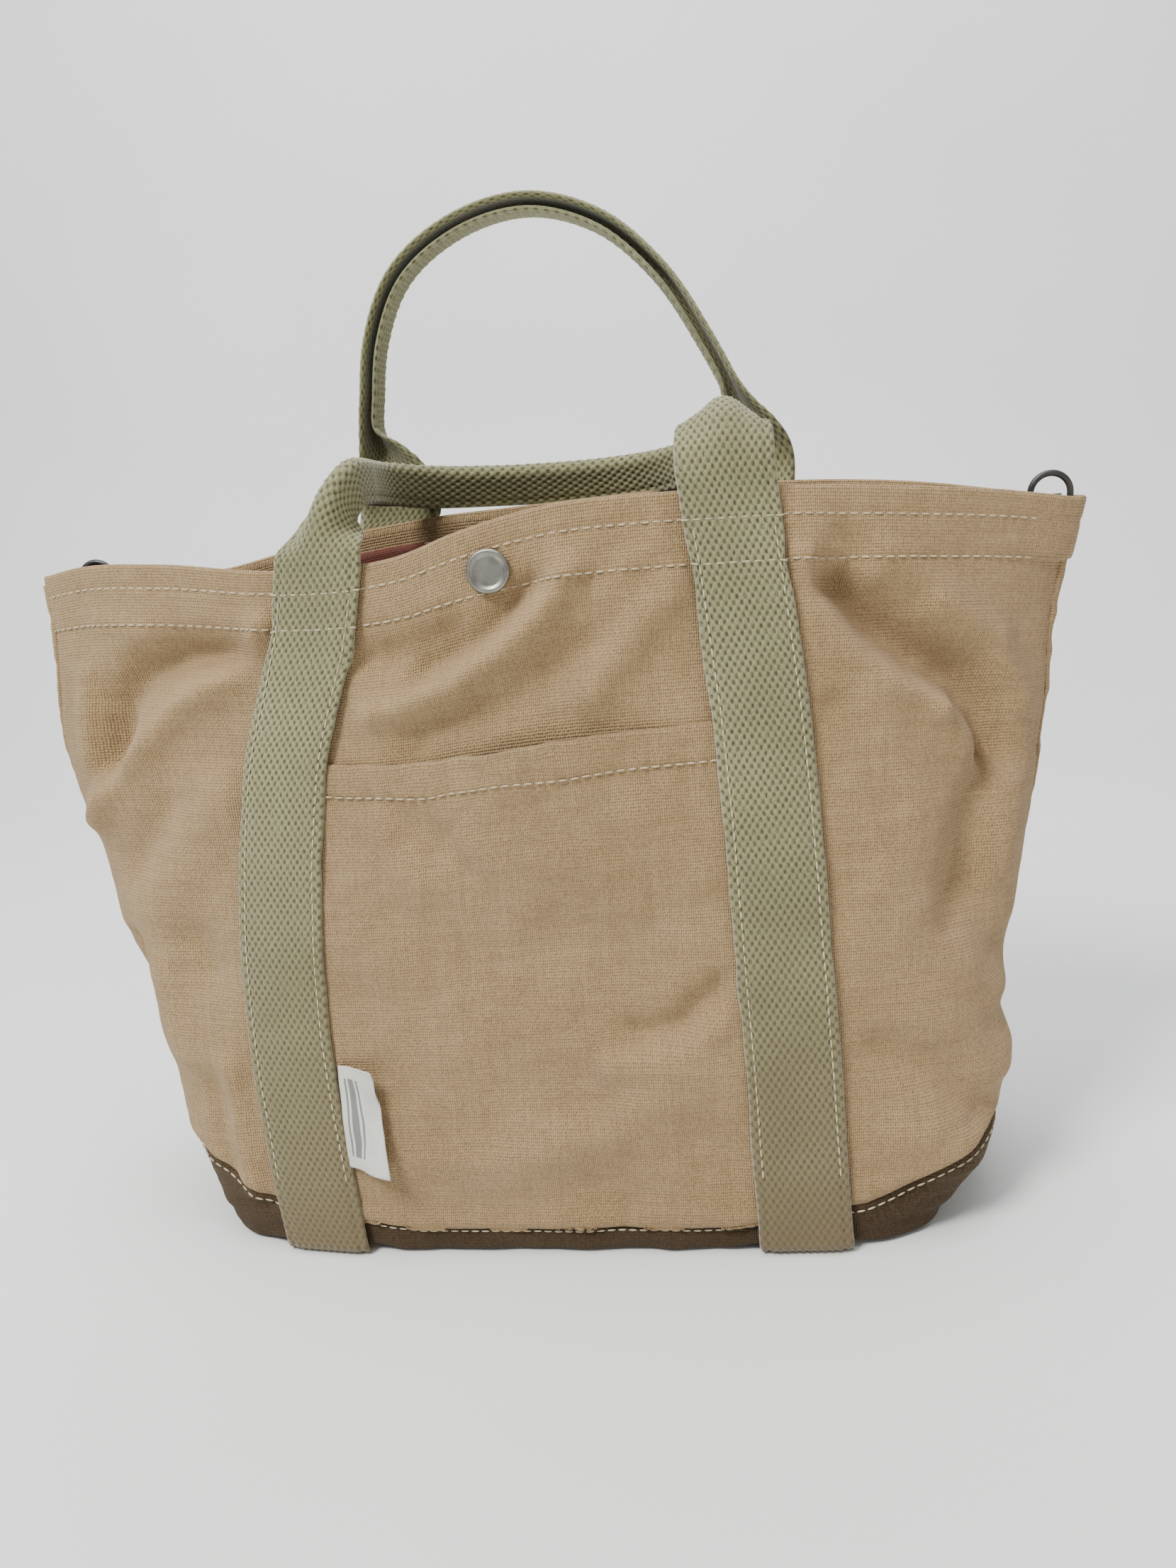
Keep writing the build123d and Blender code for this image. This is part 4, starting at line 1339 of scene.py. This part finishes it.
class TOTE_OT_stitching(bpy.types.Operator):
    """Sew every stitch row of the hems, straps, pocket and base"""

    bl_idname = "tote.stitching"
    bl_label = "Stitching"

    def execute(self, context):
        sizes = context.scene.tote_sizes
        self.sew("hem_stitches", self.hem_rows())
        self.sew("pocket_stitches", self.pocket_rows())
        self.sew("base_stitches", self.base_rows())
        for side, face in ((-1, "front"), (1, "back")):
            rows = strap_rows(side, face + "_left", sizes) + strap_rows(side, face + "_right", sizes)
            self.sew(face + "_strap_stitches", rows)
        return {"FINISHED"}

    def sew(self, name, rows):
        """Sew rows as one piece."""
        settle(stitch_rows(name, rows), "bag", "canvas_tan")

    def hem_rows(self):
        """Two rows round each panel's hem, broken under the straps."""
        rows = []
        for side, face in ((-1, "front_"), (1, "back_")):
            spans = self.open_spans(side, face)
            for below in HEM_ROWS:
                for low, high in spans:
                    share = np.linspace(low, high, 90)
                    height = RIM - below + 0 * share
                    rows.append(wall_row(side, share, height, 0.25 * MM))
                    if below == HEM_ROWS[0]:
                        rows.append(wall_row(side, share, height, -4.7 * MM))
        return rows

    def open_spans(self, side, face):
        """Shares of the girth between a face's straps at the hem."""
        edges = [-SEWN_SHARE]
        for strap in (face + "left", face + "right"):
            middle = strap_x(strap, RIM - 17 * MM)
            for reach in (-20 * MM, 20 * MM):
                edges.append(float(wall(side, False).share_at(middle + reach, RIM)))
        edges.append(SEWN_SHARE)
        return list(zip(edges[::2], edges[1::2]))

    def pocket_rows(self):
        """The row below the pocket's mouth."""
        across = np.linspace(0.06, 0.94, 90)
        points, _ = pocket_grid(across, np.array([0.93, 0.9363, 0.94]))
        out = unit(np.cross(np.gradient(points[1], axis=0), points[2] - points[0]))
        out = out * np.sign(-out[:, 1:2])
        return [points[1] + out * 0.1 * MM]

    def base_rows(self):
        """The row just below the seam of the base cloth."""
        share = np.linspace(-SEWN_SHARE, SEWN_SHARE, 260)
        return [wall_row(side, share, seam_height(share) - 3.2 * MM, 0.2 * MM) for side in (-1, 1)]


# Soft lights: name, place, target, size, power and colour
STAGE_LIGHTS = (
    ("key_light", (-0.75, -1.0, 1.75), (0, 0, 0.15), 0.6, 50.0, (1.0, 0.985, 0.95)),
    ("warm_light", (1.5, -0.8, 0.25), (0, 0, 0.15), 0.9, 5.5, (1.0, 0.8, 0.68)),
    ("wall_light", (0.0, 0.1, 2.3), (0, 1.0, 0.5), 1.4, 40.0, (0.98, 1.0, 1.0)),
)
ROOM_GLOW = ((0.86, 0.9, 0.93, 1.0), 0.44)
# Camera: place in metres; yaw, pitch and roll in degrees; sensor height and focal length in millimetres
CAMERA_PLACE = (0.0817, -0.504, 0.3104)
CAMERA_ANGLES = (-7.81, 13.85, 4.92)
SENSOR_SIZE, FOCAL_LENGTH = 36.0, 27.02


class TOTE_OT_stage(bpy.types.Operator):
    """Set the floor, the soft lights and the camera"""

    bl_idname = "tote.stage"
    bl_label = "Stage"

    def execute(self, context):
        self.backdrop()
        for light in STAGE_LIGHTS:
            self.light(*light)
        world = bpy.data.worlds.new("Studio")
        world.use_nodes = True
        for socket, value in zip(world.node_tree.nodes["Background"].inputs, ROOM_GLOW):
            socket.default_value = value
        context.scene.world = world
        self.camera(context)
        return {"FINISHED"}

    def light(self, name, place, target, size, power, colour):
        """Square soft light that faces a target."""
        lamp = bpy.data.lights.new(name, "AREA")
        lamp.shape, lamp.size, lamp.energy, lamp.color = "SQUARE", size, power, colour
        holder = bpy.data.objects.new(name, lamp)
        holder.location = place
        holder.rotation_euler = (Vector(target) - Vector(place)).to_track_quat("-Z", "Y").to_euler()
        bpy.context.scene.collection.objects.link(holder)

    def backdrop(self):
        """Pale floor that curves up into a wall far behind the bag."""
        turn = np.linspace(0, math.pi / 2, 12)
        y = np.concatenate([[-4.0, 0.5], 0.75 + 0.5 * np.sin(turn), [1.25]])
        z = np.concatenate([[0, 0], 0.5 * (1 - np.cos(turn)), [4.0]])
        x = np.array([-4.0, 4.0])
        points = np.stack([x + 0 * y[:, None], y[:, None] + 0 * x, z[:, None] + 0 * x], -1)
        piece = make_piece("backdrop", points, grid_faces(len(y), 2), points[..., :2], self.floor_finish())

    def floor_finish(self):
        """Plain pale paint, a little uneven."""
        material, g, shader = new_material("Pale floor")
        cloud = g.noise(g.place(), 3.0, 2.0)
        floor = bpy.context.scene.tote_tones.floor
        dim = [c * 0.96 for c in floor[:3]] + [1.0]
        g.feed(shader, "Base Color", g.blend(g.scale_range(cloud, 0.3, 0.7, 0.0, 1.0), floor, dim))
        shader.inputs["Roughness"].default_value = 0.7
        return material

    def camera(self, context):
        """Camera a little above the rim, turned and rolled as a hand holds it."""
        lens = bpy.data.cameras.new("camera")
        lens.sensor_fit = "VERTICAL"
        lens.sensor_width = lens.sensor_height = SENSOR_SIZE
        lens.lens, lens.clip_start = FOCAL_LENGTH, 0.01
        yaw, pitch, roll = (math.radians(angle) for angle in CAMERA_ANGLES)
        ahead = Vector((math.sin(yaw) * math.cos(pitch), math.cos(yaw) * math.cos(pitch), -math.sin(pitch)))
        level = Vector((math.cos(yaw), -math.sin(yaw), 0))
        below = ahead.cross(level)
        right = math.cos(roll) * level + math.sin(roll) * below
        down = -math.sin(roll) * level + math.cos(roll) * below
        view = bpy.data.objects.new("camera", lens)
        facing = Matrix((right, -down, -ahead)).transposed().to_4x4()
        view.matrix_world = Matrix.Translation(CAMERA_PLACE) @ facing
        context.scene.collection.objects.link(view)
        context.scene.camera = view


OPERATORS = (
    TOTE_OT_stage, TOTE_OT_straps, TOTE_OT_panels, TOTE_OT_base, TOTE_OT_pocket, TOTE_OT_lining,
    TOTE_OT_sides, TOTE_OT_label, TOTE_OT_metal, TOTE_OT_stitching,
)


class TOTE_PT_panel(bpy.types.Panel):
    """Sidebar panel of the tote bag"""

    bl_idname = "TOTE_PT_panel"
    bl_label = "Canvas Tote Bag"
    bl_space_type = "VIEW_3D"
    bl_region_type = "UI"
    bl_category = "Tote"

    def draw(self, context):
        layout = self.layout
        for group in (context.scene.tote_sizes, context.scene.tote_tones):
            for key in type(group).__annotations__:
                layout.prop(group, key)
        for operator in OPERATORS:
            layout.operator(operator.bl_idname)


CLASSES = (ToteSizes, ToteTones) + OPERATORS + (TOTE_PT_panel,)


def register():
    """Register the add-on's classes and settings."""
    for entry in CLASSES:
        bpy.utils.register_class(entry)
    bpy.types.Scene.tote_sizes = bpy.props.PointerProperty(type=ToteSizes)
    bpy.types.Scene.tote_tones = bpy.props.PointerProperty(type=ToteTones)


def unregister():
    """Remove the add-on's classes and settings."""
    del bpy.types.Scene.tote_tones
    del bpy.types.Scene.tote_sizes
    for entry in reversed(CLASSES):
        bpy.utils.unregister_class(entry)


def main():
    """Build every piece of the bag."""
    register()
    for step in OPERATORS:
        group, name = step.bl_idname.split(".")
        getattr(getattr(bpy.ops, group), name)()


if __name__ == "__main__":
    main()
